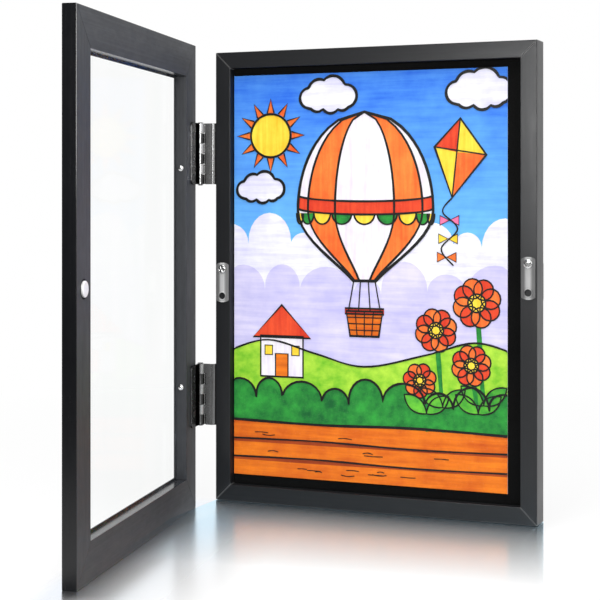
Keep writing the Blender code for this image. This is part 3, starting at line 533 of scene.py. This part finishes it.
# Smoothing
def smooth_modifier():
    """A node group that joins a CAD mesh's split corners and shades it smooth up to an angle."""
    group = bpy.data.node_groups.new("smooth_by_angle", "GeometryNodeTree")
    group.interface.new_socket("Geometry", in_out="INPUT", socket_type="NodeSocketGeometry")
    group.interface.new_socket("Geometry", in_out="OUTPUT", socket_type="NodeSocketGeometry")
    nodes = group.nodes
    start = nodes.new("NodeGroupInput")
    strip = nodes.new("GeometryNodeRemoveAttribute")
    strip.inputs["Name"].default_value = "custom_normal"
    weld = nodes.new("GeometryNodeMergeByDistance")
    weld.inputs["Distance"].default_value = WELD_DISTANCE
    smooth = nodes.new("GeometryNodeSetShadeSmooth")
    angle = nodes.new("GeometryNodeInputMeshEdgeAngle")
    sharp = nodes.new("FunctionNodeCompare")
    sharp.data_type = "FLOAT"
    sharp.operation = "GREATER_THAN"
    sharp.inputs[1].default_value = SHARP_ANGLE
    crease = nodes.new("GeometryNodeSetShadeSmooth")
    crease.domain = "EDGE"
    crease.inputs["Shade Smooth"].default_value = False
    end = nodes.new("NodeGroupOutput")
    links = group.links
    links.new(start.outputs[0], strip.inputs["Geometry"])
    links.new(strip.outputs[0], weld.inputs["Geometry"])
    links.new(weld.outputs[0], smooth.inputs["Geometry"])
    links.new(smooth.outputs[0], crease.inputs["Geometry"])
    links.new(angle.outputs[0], sharp.inputs[0])
    links.new(sharp.outputs[0], crease.inputs["Selection"])
    links.new(crease.outputs[0], end.inputs[0])
    return group


def member_finishes():
    """The foil of the box's and the door's rails and stiles."""
    return {
        "box_rail": charcoal("charcoal_box_level", LEVEL_GRAIN, False, True),
        "box_stile": charcoal("charcoal_box_upright", UPRIGHT_GRAIN, False, False, 0.3),
        "door_rail": charcoal("charcoal_door_level", LEVEL_GRAIN, True, True),
        "door_stile": charcoal("charcoal_door_upright", UPRIGHT_GRAIN, True, False),
    }


def metal_finishes():
    """Brushed clips, drawn hinges, zinc fasteners and the nickel magnet."""
    brushed = {"stretch": BRUSHED_GRAIN, "roughness": 0.62, "depth": 0.10}
    brushed["toned"] = (clip_flank_shade, FLANK_SHADE_TONE)
    drawn = {"stretch": DRAWN_GRAIN, "depth": 0.004, "reach": 0.0045}
    # The box leaf is a lighter copy of the hinge steel and the door leaf a lighter one still, as
    # painted light; the door leaf's bright edge is a painted highlight
    box_leaf = {"roughness": 0.25, "grime": 0.50, "toned": (shade_on_box_leaf, METAL_SHADE_TONE), "shine": 0.83}
    door_leaf = {"roughness": 0.25, "grime": 0.80, "toned": (shade_on_door_leaf, METAL_SHADE_TONE), "rim": 0.05}
    return {
        "brushed_steel": metal("brushed_steel", grey(0.74), grey(0.92), **brushed),
        "keeper": metal("keeper_steel", grey(0.40), grey(0.50), **brushed),
        "hinge_steel": metal(
            "hinge_steel", grey(0.22), grey(0.26), roughness=0.27, grime=0.96, **drawn
        ),
        "box_leaf": metal("hinge_steel_box_leaf", grey(0.36), grey(0.42), **drawn, **box_leaf),
        "door_leaf": metal("hinge_steel_door_leaf", grey(0.76), grey(0.84), **drawn, **door_leaf),
        # Painted shade: the hinge screws are a much darker copy of the zinc fasteners
        "hinge_screw": metal("hinge_screw", grey(0.07), grey(0.11), TURNED_GRAIN, 0.45, 0.02),
        "zinc_fastener": metal("zinc_fastener", grey(0.62), grey(0.74), TURNED_GRAIN, 0.22, 0.02),
        "nickel_magnet": metal(
            "nickel_magnet", grey(0.76), grey(0.88), (300.0, 300.0, 300.0), 0.42, 0.01, shine=0.4
        ),
    }


def sheet_finishes():
    """The back panel, the pad, the artwork's paper and the pane."""
    return {
        "black_hardboard": plain_dark(
            "black_hardboard", grey(0.012), grey(0.030), (90.0, 90.0, 700.0), 0.78, 0.00015
        ),
        "black_foam": plain_dark(
            "black_foam", grey(0.002), grey(0.005), (900.0, 900.0, 900.0), 0.9, 0.0001, 0.1
        ),
        "art_paper": paper("art_paper"),
        "clear_acrylic": acrylic("clear_acrylic"),
    }


def finish_key(name, slot_name):
    """Which finish a node takes, by its own name or else by its material in the CAD model."""
    for ending in ("_rail", "_stile"):
        if name.endswith(ending):
            return name.split("_")[0] + ending
    for leaf in ("box_leaf", "door_leaf"):
        if name.endswith(leaf):
            return leaf
    # Painted shade: the right clip takes the keeper's darker steel instead of the brushed steel
    if name == "turn_clip_right":
        return "keeper"
    # The hinge screws take their darker copy of the zinc, as painted shade
    if "hinge_door_screw" in name or "hinge_box_screw" in name:
        return "hinge_screw"
    return slot_name.split(".")[0]


def finish_nodes():
    """Gives every CAD node its finish and its smooth shading."""
    finishes = {**member_finishes(), **metal_finishes(), **sheet_finishes()}
    group = smooth_modifier()
    for name, node in frame["nodes"].items():
        slot = node.material_slots[0]
        slot.material = finishes[finish_key(name, slot.material.name)]
        modifier = node.modifiers.new("smooth", "NODES")
        modifier.node_group = group
        weighted = node.modifiers.new("weighted", "WEIGHTED_NORMAL")
        weighted.keep_sharp = True


# Artwork: shapes in millimetres on the sheet, U to the right and V up from its lower left corner
SHEET_WIDTH, SHEET_HEIGHT = 210.0, 297.0

# How far each layer of paint, and each shape in its order, stands off the sheet, in metres
LAYER = 0.00003
SHAPE_STEP = 0.0000004
shape_random = random.Random(7)


class Painting:
    """Flat shapes and ink lines that lie in thin layers on the sheet."""

    def __init__(self, name, layer):
        low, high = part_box("art_sheet")
        self.origin = Vector((low.x, low.y, low.z))
        self.name = name
        self.layer = layer
        self.vertices = []
        self.faces = []
        self.picks = []
        self.materials = []
        self.shapes = 0

    def pick(self, material):
        if material not in self.materials:
            self.materials.append(material)
        return self.materials.index(material)

    def put(self, points, lift=0):
        start = len(self.vertices)
        self.shapes += 1
        deep = self.origin.y - LAYER * (self.layer + lift) - SHAPE_STEP * self.shapes
        for u, v in points:
            u = min(max(u, 0.0), SHEET_WIDTH)
            v = min(max(v, 0.0), SHEET_HEIGHT)
            self.vertices.append((
                self.origin.x + u * MILLIMETRE,
                deep,
                self.origin.z + v * MILLIMETRE,
            ))
        return start

    def fill(self, points, material, lift=0):
        """A filled outline."""
        start = self.put(points, lift)
        flat = [Vector((u, v, 0)) for u, v in points]
        index = self.pick(material)
        for corners in tessellate_polygon([flat]):
            self.faces.append([start + corner for corner in corners])
            self.picks.append(index)

    def line(self, points, width, material, closed=False, lift=1):
        """A ribbon along points, with the small changes of width that a marker leaves."""
        count = len(points)
        left = []
        right = []
        for index, (u, v) in enumerate(points):
            if closed:
                before, after = points[index - 1], points[(index + 1) % count]
            else:
                before, after = points[max(index - 1, 0)], points[min(index + 1, count - 1)]
            along = Vector((after[0] - before[0], after[1] - before[1]))
            along = along.normalized() if along.length else Vector((1, 0))
            half = width / 2 * (1 + 0.14 * math.sin(index * 0.7) * math.sin(index * 0.23))
            left.append((u - along.y * half, v + along.x * half))
            right.append((u + along.y * half, v - along.x * half))
        first = self.put(left, lift)
        second = self.put(right, lift)
        index = self.pick(material)
        steps = count if closed else count - 1
        for step in range(steps):
            following = (step + 1) % count
            self.faces.append([first + step, first + following, second + following, second + step])
            self.picks.append(index)

    def build(self):
        """The piece, which rides on the box with the sheet."""
        made = mesh_object(self.name, self.vertices, self.faces, self.materials)
        made.data.polygons.foreach_set("material_index", self.picks)
        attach(made, "box")


class InkLines(Painting):
    """The drawing's ink lines, all in one layer over its colours."""

    def __init__(self, name, layer, material):
        super().__init__(name, layer)
        self.material = material

    def trace(self, points, width):
        self.line(points, width, self.material)

    def ring(self, points, width, lift=1):
        self.line(points, width, self.material, closed=True, lift=lift)


def rectangle(left, low, right, high):
    """Four corners, from the lower left one to the right and up."""
    return [(left, low), (right, low), (right, high), (left, high)]


def oval(u, v, wide, high=None, steps=40, start=0.0, end=math.tau):
    """Points round an ellipse, or along a part of it."""
    high = wide if high is None else high
    closed = abs(end - start - math.tau) < 1e-6
    count = steps if closed else steps + 1
    turns = [start + (end - start) * step / steps for step in range(count)]
    return [(u + wide * math.cos(turn), v + high * math.sin(turn)) for turn in turns]


def curve(points, steps=8, closed=False):
    """A smooth line through points."""
    count = len(points)
    made = []
    last = count if closed else count - 1
    for index in range(last):
        ends = []
        for shift in (-1, 0, 1, 2):
            place = index + shift
            place = place % count if closed else min(max(place, 0), count - 1)
            ends.append(Vector(points[place]))
        for step in range(steps):
            t = step / steps
            a, b, c, d = ends
            point = 0.5 * (
                2 * b + (c - a) * t + (2 * a - 5 * b + 4 * c - d) * t ** 2
                + (3 * b - a - 3 * c + d) * t ** 3
            )
            made.append((point.x, point.y))
    if not closed:
        made.append(tuple(points[-1]))
    return made


def puffs(start, end, base, sizes):
    """The scalloped upper edge of a cloud or a bush, from left to right."""
    edge = []
    total = sum(sizes)
    at = start
    for number, size in enumerate(sizes):
        width = (end - start) * size / total
        high = width * (0.52 + 0.10 * math.sin(number * 2.1))
        middle = (at + width / 2, base + 2.0 * math.sin(number * 1.7))
        arc = oval(*middle, width / 2, high, 12, math.pi, 0)
        edge += arc if not edge else arc[1:]
        at += width
    return edge


def cloud_outline(u, v, wide):
    """The outer edge of overlapping puffs, as seen from the cloud's middle."""
    puff_shares = (
        (-0.34, 0.0, 0.17), (-0.16, 0.11, 0.20), (0.08, 0.14, 0.22), (0.31, 0.02, 0.19),
        (-0.20, -0.08, 0.15), (0.04, -0.10, 0.16), (0.24, -0.08, 0.14),
    )
    outline = []
    for step in range(72):
        turn = math.tau * step / 72
        along = Vector((math.cos(turn), math.sin(turn)))
        reach = 0.0
        for shift, rise, radius in puff_shares:
            middle = Vector((shift, rise))
            on_ray = middle.dot(along)
            inside = radius ** 2 - (middle.length_squared - on_ray ** 2)
            if inside > 0:
                reach = max(reach, on_ray + math.sqrt(inside))
        outline.append((u + wide * reach * along.x, v + wide * reach * along.y))
    return outline


def leaf_outline(u, v, length, turn):
    """A pointed leaf that grows from a point along a turn."""
    widths = [0.24 * math.sin(math.pi * step / 10) ** 0.8 for step in range(11)]
    upper = [(length * step / 10, length * widths[step]) for step in range(11)]
    lower = [(length * step / 10, -length * widths[step]) for step in range(9, 0, -1)]
    cos, sin = math.cos(turn), math.sin(turn)
    return [(u + x * cos - y * sin, v + x * sin + y * cos) for x, y in upper + lower]


def paint_colours():
    """The drawing's markers: light and dark colour, way of the strokes and any fade upwards."""
    markers = (
        ("sky", (116, 196, 255), (34, 104, 226), ACROSS_SHEET, (0.20, 0.30, 0.62)),
        ("cloud", (252, 252, 255), (214, 212, 246), ACROSS_SHEET),
        ("shade", (226, 220, 250), (190, 186, 236), ACROSS_SHEET),
        ("lime", (196, 236, 74), (108, 190, 34), (90.0, 1.0, 120.0)),
        ("green", (52, 168, 62), (14, 96, 44), ROUND_LEAVES),
        ("leaf", (120, 214, 60), (30, 140, 50), ROUND_LEAVES),
        ("plank", (246, 132, 24), (206, 84, 16), ACROSS_SHEET),
        ("plank_dark", (190, 78, 22), (140, 50, 16), ACROSS_SHEET),
        ("orange", (255, 140, 60), (232, 84, 30), DOWN_SHEET),
        ("red", (240, 84, 44), (206, 40, 24), DOWN_SHEET),
        ("white", (252, 250, 252), (226, 214, 236), DOWN_SHEET),
        ("yellow", (255, 236, 80), (246, 186, 30), DOWN_SHEET),
        ("pink", (255, 150, 190), (240, 96, 150), DOWN_SHEET),
    )
    return {
        name: marker("marker_" + name, srgb(*light), srgb(*dark), *strokes)
        for name, light, dark, *strokes in markers
    }


def paint_background(ink_line, paint):
    """Sky, cloud bank, small clouds and a sun."""
    sky = Painting("painted_sky", 1)
    sky.fill(rectangle(0, 60, SHEET_WIDTH, SHEET_HEIGHT), paint["sky"])
    bank = Painting("painted_clouds", 2)
    edge = puffs(-16, 226, 172, (4, 5, 3, 6, 4, 5, 3, 5))
    bank.fill(edge + [(226, 60), (-16, 60)], paint["cloud"])
    low_edge = puffs(-10, 222, 138, (5, 4, 6, 3, 5, 4, 6))
    bank.fill(low_edge + [(222, 60), (-10, 60)], paint["shade"], 1)
    for u, v, wide in ((76, 279, 44), (190, 280, 48), (22, 212, 38)):
        outline = cloud_outline(u, v, wide)
        bank.fill(outline, paint["cloud"], 2)
        ink_line.ring(outline, 2.1)
    u, v = 30, 252
    for number in range(12):
        turn = math.tau * number / 12
        rays = ((17, -0.16), (27, 0.0), (17, 0.16))
        ray = [(u + far * math.cos(turn + s), v + far * math.sin(turn + s)) for far, s in rays]
        bank.fill(ray, paint["orange"], 3)
        ink_line.trace(ray, 1.1)
    bank.fill(oval(u, v, 16), paint["yellow"], 4)
    ink_line.ring(oval(u, v, 16), 1.7)
    return [sky, bank]


def paint_land(ink_line, paint):
    """Hills, bushes and the plank fence along the bottom."""
    land = Painting("painted_land", 7)
    hill = curve([(-4, 92), (28, 101), (66, 92), (104, 84), (150, 94), (186, 104), (214, 98)])
    land.fill(hill + [(214, 30), (-4, 30)], paint["lime"])
    ink_line.trace(hill, 1.3)
    ridge = curve([(-4, 72), (40, 66), (90, 74), (140, 66), (214, 74)])
    land.fill(ridge + [(214, 30), (-4, 30)], paint["lime"], 1)
    bushes = puffs(-8, 218, 58, (5, 4, 6, 4, 5, 6, 4, 5, 4))
    land.fill(bushes + [(218, 26), (-8, 26)], paint["green"], 2)
    ink_line.trace(bushes, 1.6)
    land.fill([(0, 0), (SHEET_WIDTH, 0), (SHEET_WIDTH, 40), (0, 41)], paint["plank"], 3)
    for v in (13.5, 27.0):
        gap = [(0, v - 2.4), (SHEET_WIDTH, v - 2.0), (SHEET_WIDTH, v), (0, v)]
        land.fill(gap, paint["plank_dark"], 4)
        ink_line.trace(curve([(0, v), (70, v + 0.8), (140, v - 0.6), (210, v + 0.4)]), 1.3)
    ink_line.trace(curve([(0, 41), (70, 40), (140, 41.5), (210, 40)]), 1.9)
    for number in range(16):
        u = shape_random.uniform(6, 190)
        v = shape_random.choice((6, 20, 33)) + shape_random.uniform(-2.5, 2.5)
        reach = shape_random.uniform(5, 15)
        bow = shape_random.uniform(-0.8, 0.8)
        ink_line.trace(curve([(u, v), (u + reach / 2, v + bow), (u + reach, v)]), 0.6)
    return [land]


def balloon_half_width(v):
    """Half the envelope's width at a height above its mouth, from 0 to 1."""
    if v > 0.42:
        share = (v - 0.42) / 0.58
        return math.sqrt(max(0.0, 1 - share ** 2))
    share = v / 0.42
    return 0.17 + 0.83 * math.sin(share * math.pi / 2) ** 1.15


def gore(turn_low, turn_high, u, foot, wide, high, steps=22):
    """The strip of a balloon between two meridians."""
    levels = [step / steps for step in range(steps + 1)]
    sides = []
    for turn in (turn_low, turn_high):
        sides.append([
            (u + wide * balloon_half_width(level) * math.sin(turn), foot + high * level)
            for level in levels
        ])
    return sides


def paint_balloon(ink_line, paint):
    """A striped hot-air balloon in the middle of the sheet."""
    balloon = Painting("painted_balloon", 12)
    u, foot, wide, high = 104, 146, 52, 122
    turns = [math.radians(angle) for angle in (-90, -58, -26, 26, 58, 90)]
    fills = ("white", "orange", "white", "orange", "white")
    for low, upper, colour in zip(turns, turns[1:], fills):
        left, right = gore(low, upper, u, foot, wide, high)
        balloon.fill(left + right[::-1], paint[colour])
    for turn in turns[1:-1]:
        ink_line.trace(gore(turn, turn, u, foot, wide, high)[0], 1.6)
    left, right = gore(turns[0], turns[-1], u, foot, wide, high)
    ink_line.ring(left + right[::-1][1:], 2.1)
    for side in range(9):
        turn = math.radians(-80 + 20 * side)
        at = u + wide * 0.985 * math.sin(turn) * balloon_half_width(0.40)
        reach = 6.4 * math.cos(turn) + 1.6
        drop = oval(at, foot + high * 0.40, reach, 8.0, 14, math.pi, math.tau)
        balloon.fill(drop, paint["green"] if side % 2 else paint["yellow"], 1)
        ink_line.trace(drop, 1.3)
    half = wide * balloon_half_width(0.42)
    band = oval(u, foot + high * 0.43, half, 4.5, 24, math.pi, math.tau)
    upper = [(x, y + 9.5) for x, y in band]
    balloon.fill(band + upper[::-1], paint["red"], 2)
    ink_line.trace(band, 1.5)
    ink_line.trace(upper, 1.5)
    for side in (-8.2, -3.0, 3.0, 8.2):
        ink_line.trace([(u + side, foot), (u + side * 1.5, foot - 22)], 0.9)
    basket = [(u - 14, foot - 22), (u + 14, foot - 22), (u + 11, foot - 40), (u - 11, foot - 40)]
    basket = curve(basket, 1, True)
    balloon.fill(basket, paint["plank"], 1)
    for row in range(3):
        v = foot - 26.5 - row * 4.6
        reach = 13.4 - row * 0.9
        ink_line.trace([(u - reach, v), (u + reach, v)], 0.8)
    for side in (-7, 0, 7):
        ink_line.trace([(u + side, foot - 22), (u + side * 0.8, foot - 40)], 0.8)
    ink_line.ring(basket, 1.8)
    rim = rectangle(u - 15, foot - 24, u + 15, foot - 20)
    balloon.fill(rim, paint["red"], 2)
    ink_line.ring(rim, 1.3)
    return [balloon]


def paint_kite(ink_line, paint):
    """A kite with a bowed tail at the upper right."""
    kite = Painting("painted_kite", 12)
    top, right, foot, left = (176, 262), (195, 236), (170, 206), (157, 242)
    middle = (174, 238)
    for corners, colour in (
        ((top, right, middle), "yellow"),
        ((right, foot, middle), "orange"),
        ((foot, left, middle), "yellow"),
        ((left, top, middle), "red"),
    ):
        kite.fill(list(corners), paint[colour])
    ink_line.ring([top, right, foot, left], 1.7)
    ink_line.trace([top, foot], 1.0)
    ink_line.trace([left, right], 1.0)
    tail = curve([foot, (163, 196), (174, 184), (162, 170), (171, 158)])
    ink_line.trace(tail, 1.1)
    for u, v, colour in ((168, 190, "pink"), (167, 177, "yellow"), (166, 164, "orange")):
        for side in (-1, 1):
            bow = [(u, v), (u + side * 7, v + 3.4), (u + side * 7, v - 3.4)]
            kite.fill(bow, paint[colour])
            ink_line.ring(bow, 0.9)
    return [kite]


def flower(painting, ink_line, paint, u, v, size, petals):
    """A flower head with round petals."""
    for number in range(petals):
        turn = math.tau * number / petals + 0.3
        middle = (u + size * 0.62 * math.cos(turn), v + size * 0.62 * math.sin(turn))
        petal = oval(*middle, size * 0.42, None, 16)
        colour = paint["red"] if number % 2 else paint["orange"]
        painting.fill(petal, colour, 1)
        ink_line.ring(petal, 1.1, 0)
    heart = oval(u, v, size * 0.38, None, 20)
    painting.fill(heart, paint["yellow"], 7)
    ink_line.ring(heart, 1.2, 2)


def paint_flowers(ink_line, paint):
    """Tall flowers on the right and a small house on the left."""
    plants = Painting("painted_flowers", 12)
    heads = ((158, 112, 15, 8), (188, 132, 17, 8), (184, 88, 14, 8), (146, 76, 12, 7))
    for u, v, size, petals in heads:
        stem = curve([(u + 6, 40), (u + 3, v * 0.5 + 22), (u, v)])
        plants.line(stem, 3.4, paint["green"], lift=0)
        for side in (-1, 1):
            turn = math.radians(90 - side * 52)
            leaf = leaf_outline(u + 5, 42 + v * 0.14, 21, turn)
            plants.fill(leaf, paint["leaf"], 0)
            ink_line.ring(leaf, 1.1)
    for u, v, size, petals in heads:
        flower(plants, ink_line, paint, u, v, size, petals)
    house = Painting("painted_house", 12)
    wall = rectangle(22, 74, 56, 104)
    roof = [(16, 103), (62, 103), (39, 127)]
    entrance = rectangle(34, 74, 44, 91)
    house.fill(wall, paint["white"])
    house.fill(roof, paint["red"], 1)
    house.fill(entrance, paint["plank"], 1)
    for u in (25.5, 47.0):
        window = rectangle(u, 90, u + 6, 97)
        house.fill(window, paint["yellow"], 1)
        ink_line.ring(window, 0.9)
    ink_line.ring(wall, 1.6)
    ink_line.ring(roof, 1.7)
    ink_line.ring(entrance, 1.1)
    return [plants, house]


def paint_sheet():
    """The whole drawing."""
    paint = paint_colours()
    lines = InkLines("painted_ink_lines", 20, ink("marker_ink"))
    made = paint_background(lines, paint)
    made += paint_land(lines, paint)
    made += paint_flowers(lines, paint)
    made += paint_balloon(lines, paint)
    made += paint_kite(lines, paint)
    for painting in made:
        painting.build()
    lines.build()


# Hinge slots
def shade_hinge_slots():
    """A thin dark strip behind each box leaf's comb, put there as painted shade, whose slots read
    black in the photograph.
    """
    grain = (400.0, 400.0, 400.0)
    finish = plain_dark("slot_liner", grey(0.003), grey(0.008), grain, 0.85, 0.00002, 0.1)
    left, right = SLOT_SHADE_SIDES
    outline = rectangle(left, BOX_FRONT, right, BOX_FRONT + SLOT_SHADE_THICKNESS)
    for hinge in ("upper_hinge", "lower_hinge"):
        low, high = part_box(hinge + "_box_leaf")
        levels = (low.z + SLOT_SHADE_INSET, high.z - SLOT_SHADE_INSET)
        corners = [(x, y, z) for z in levels for x, y in outline]
        faces = [(0, 1, 2, 3), (7, 6, 5, 4), (0, 4, 5, 1), (1, 5, 6, 2), (2, 6, 7, 3), (3, 7, 4, 0)]
        made = mesh_object(hinge + "_slot_liner", corners, faces, [finish])
        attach(made, "box")


# Floor, surroundings, light and camera
def ground(name, corners, height, material):
    """A flat four-sided stage piece."""
    vertices = [(x, y, height) for x, y in corners]
    mesh_object(name, vertices, [(0, 1, 2, 3)], [material])


def seen_white(g, behind):
    """1 for what is seen straight or through the pane, and for what a gloss mirrors behind."""
    path = g.node("LightPath").outputs
    straight = g.math("MAXIMUM", path["Is Camera Ray"], path["Is Transmission Ray"])
    mirrored = g.math("MULTIPLY", path["Is Glossy Ray"], behind)
    return g.math("MAXIMUM", straight, mirrored)


def floor_material():
    """White floor that keeps the shadow, glows further off and mirrors the door by its foot."""
    g = Graph("stage_floor")
    place = g.node("NewGeometry").outputs["Position"]
    split = g.split(place)
    away = g.node("VectorMath", {0: place}, operation="LENGTH").outputs["Value"]
    lit = g.node("BsdfDiffuse", {"Color": grey(FLOOR_WHITE)})
    dimmed = g.remap(split[1], *FLOOR_DIM, FRONT_LEVEL, FLOOR_GLOW)
    white = seen_white(g, g.remap(split[1], *FLOOR_DIM))
    glow = g.node("Emission", {"Color": grey(1.0), "Strength": g.remap(white, 0.0, 1.0, dimmed, 1.0)})
    share = g.remap(away, *GLOW_FADE, *GLOW_SHARES)
    plain = g.node("MixShader", {0: share, 1: lit.outputs[0], 2: glow.outputs[0]})
    off_door = across_floor(g, split, math.sin(DOOR_TURN), math.cos(DOOR_TURN))
    along_door = across_floor(g, split, math.cos(DOOR_TURN), -math.sin(DOOR_TURN))
    share = g.remap(off_door, DOOR_GLOSS_REACH, DOOR_FOOT_LAP, 0.0, DOOR_MIRROR_SHARE)
    share = g.math("POWER", share, DOOR_MIRROR_FALL)
    share = g.math("MULTIPLY", share, g.remap(off_door, *BEHIND_DOOR_FADE))
    share = g.math("MULTIPLY", share, g.remap(along_door, *HINGE_END_FADE))
    share = g.math("MULTIPLY", share, g.eased(along_door, *FAR_END_FADE))
    share = g.math("MULTIPLY", share, low_view(g))
    mixed = g.node("MixShader", {0: share, 1: plain.outputs[0], 2: floor_mirror(g, DOOR_TINT)})
    return g.done(mixed)


def across_floor(g, split, along_x, along_y):
    """How far a floor point lies from the hinge axis along one level way."""
    off_x = g.math("SUBTRACT", split[0], HINGE_AXIS[0])
    off_y = g.math("SUBTRACT", split[1], HINGE_AXIS[1])
    return g.weighed(off_x, along_x, off_y, along_y)


def low_view(g):
    """A polished floor mirrors fully at a low angle and faintly from above."""
    facing = g.node("LayerWeight", {"Blend": 0.5}).outputs["Facing"]
    return g.remap(facing, *LOW_VIEW_FADE, STEEP_SHARE, 1.0)


def floor_mirror(g, tint):
    """The soft reflection in the polished floor."""
    return g.node("BsdfGlossy", {"Color": tint, "Roughness": MIRROR_ROUGHNESS}).outputs[0]


def gloss_material():
    """A clear sheet under the box that only mirrors it, and less so further forward."""
    g = Graph("stage_gloss")
    place = g.node("NewGeometry").outputs["Position"]
    split = g.split(place)
    reach = g.remap(split[0], -BOX_HALF_WIDTH, BOX_HALF_WIDTH, *GLOSS_REACH)
    ahead = g.math("DIVIDE", g.math("SUBTRACT", BOX_FRONT, split[1]), reach)
    share = g.math("POWER", g.remap(ahead, 1.0, 0.0), BOX_MIRROR_FALL)
    share = g.math("MULTIPLY", share, low_view(g))
    clear = g.node("BsdfTransparent", {"Color": grey(1.0)})
    mixed = g.node("MixShader", {0: share, 1: clear.outputs[0], 2: floor_mirror(g, BOX_TINT)})
    return g.done(mixed)


def build_stage():
    """The floor and the clear sheet that carries the box's reflection."""
    corners = rectangle(-FLOOR_REACH, -FLOOR_REACH, FLOOR_REACH, FLOOR_REACH)
    ground("stage_floor", corners, DOOR_LOW, floor_material())
    near = BOX_FRONT - max(GLOSS_REACH)
    slant = (CAMERA_PLACE[0] - BOX_HALF_WIDTH) / -CAMERA_PLACE[1]
    corners = [
        (-BOX_HALF_WIDTH, near),
        (BOX_HALF_WIDTH - slant * near, near),
        (BOX_HALF_WIDTH, 0.0),
        (-BOX_HALF_WIDTH, 0.0),
    ]
    ground("stage_gloss", corners, BOX_LOW - GLOSS_DROP, gloss_material())


def build_world():
    """White behind the frame; in front a studio that is dim at eye level."""
    world = bpy.data.worlds.new("studio")
    bpy.context.scene.world = world
    g = Graph("studio", world)
    way = g.split(g.node("TexCoord").outputs["Generated"])
    side = g.eased(way[0], *TO_THE_RIGHT, FRONT_LEVEL, RIGHT_LEVEL)
    level = g.remap(way[1], *TO_THE_BACK, side, BACK_LEVEL)
    white = seen_white(g, g.remap(way[1], *TO_THE_BACK))
    strength = g.mix_values(white, level, 1.0)
    background = g.node("Background", {"Color": grey(1.0), "Strength": strength})
    g.done(background, "OutputWorld")


def area_light(name, place, width, height, power):
    """A softbox that points at the frame."""
    data = bpy.data.lights.new(name, "AREA")
    data.shape = "RECTANGLE"
    data.size = width
    data.size_y = height
    data.energy = power
    made = bpy.data.objects.new(name, data)
    made.location = place
    aim = Vector(LIGHT_AIM) - Vector(place)
    made.rotation_euler = aim.to_track_quat("-Z", "Y").to_euler()
    made.visible_camera = False
    bpy.context.scene.collection.objects.link(made)


def build_lights():
    """The studio's softboxes, each pointed at the frame."""
    for name, (azimuth, rise, away, width, height, power) in SOFTBOXES.items():
        turn, lift = math.radians(azimuth), math.radians(rise)
        level = away * math.cos(lift)
        height_above = LIGHT_AIM[2] + away * math.sin(lift)
        place = (level * math.sin(turn), -level * math.cos(turn), height_above)
        area_light(name, place, width, height, power)


def build_camera():
    """The camera of the photograph."""
    data = bpy.data.cameras.new("camera")
    data.sensor_width = CAMERA_SENSOR
    data.lens = CAMERA_LENS
    data.shift_y = CAMERA_SHIFT
    data.clip_start = CAMERA_NEAR
    made = bpy.data.objects.new("camera", data)
    made.location = CAMERA_PLACE
    made.rotation_euler = (math.pi / 2, 0, CAMERA_TURN)
    bpy.context.scene.collection.objects.link(made)
    bpy.context.scene.camera = made


def main():
    """Dress the CAD model, then set the stage."""
    finish_nodes()
    paint_sheet()
    shade_hinge_slots()
    build_stage()
    build_world()
    build_lights()
    build_camera()
    bpy.context.scene.view_settings.view_transform = "Standard"


main()
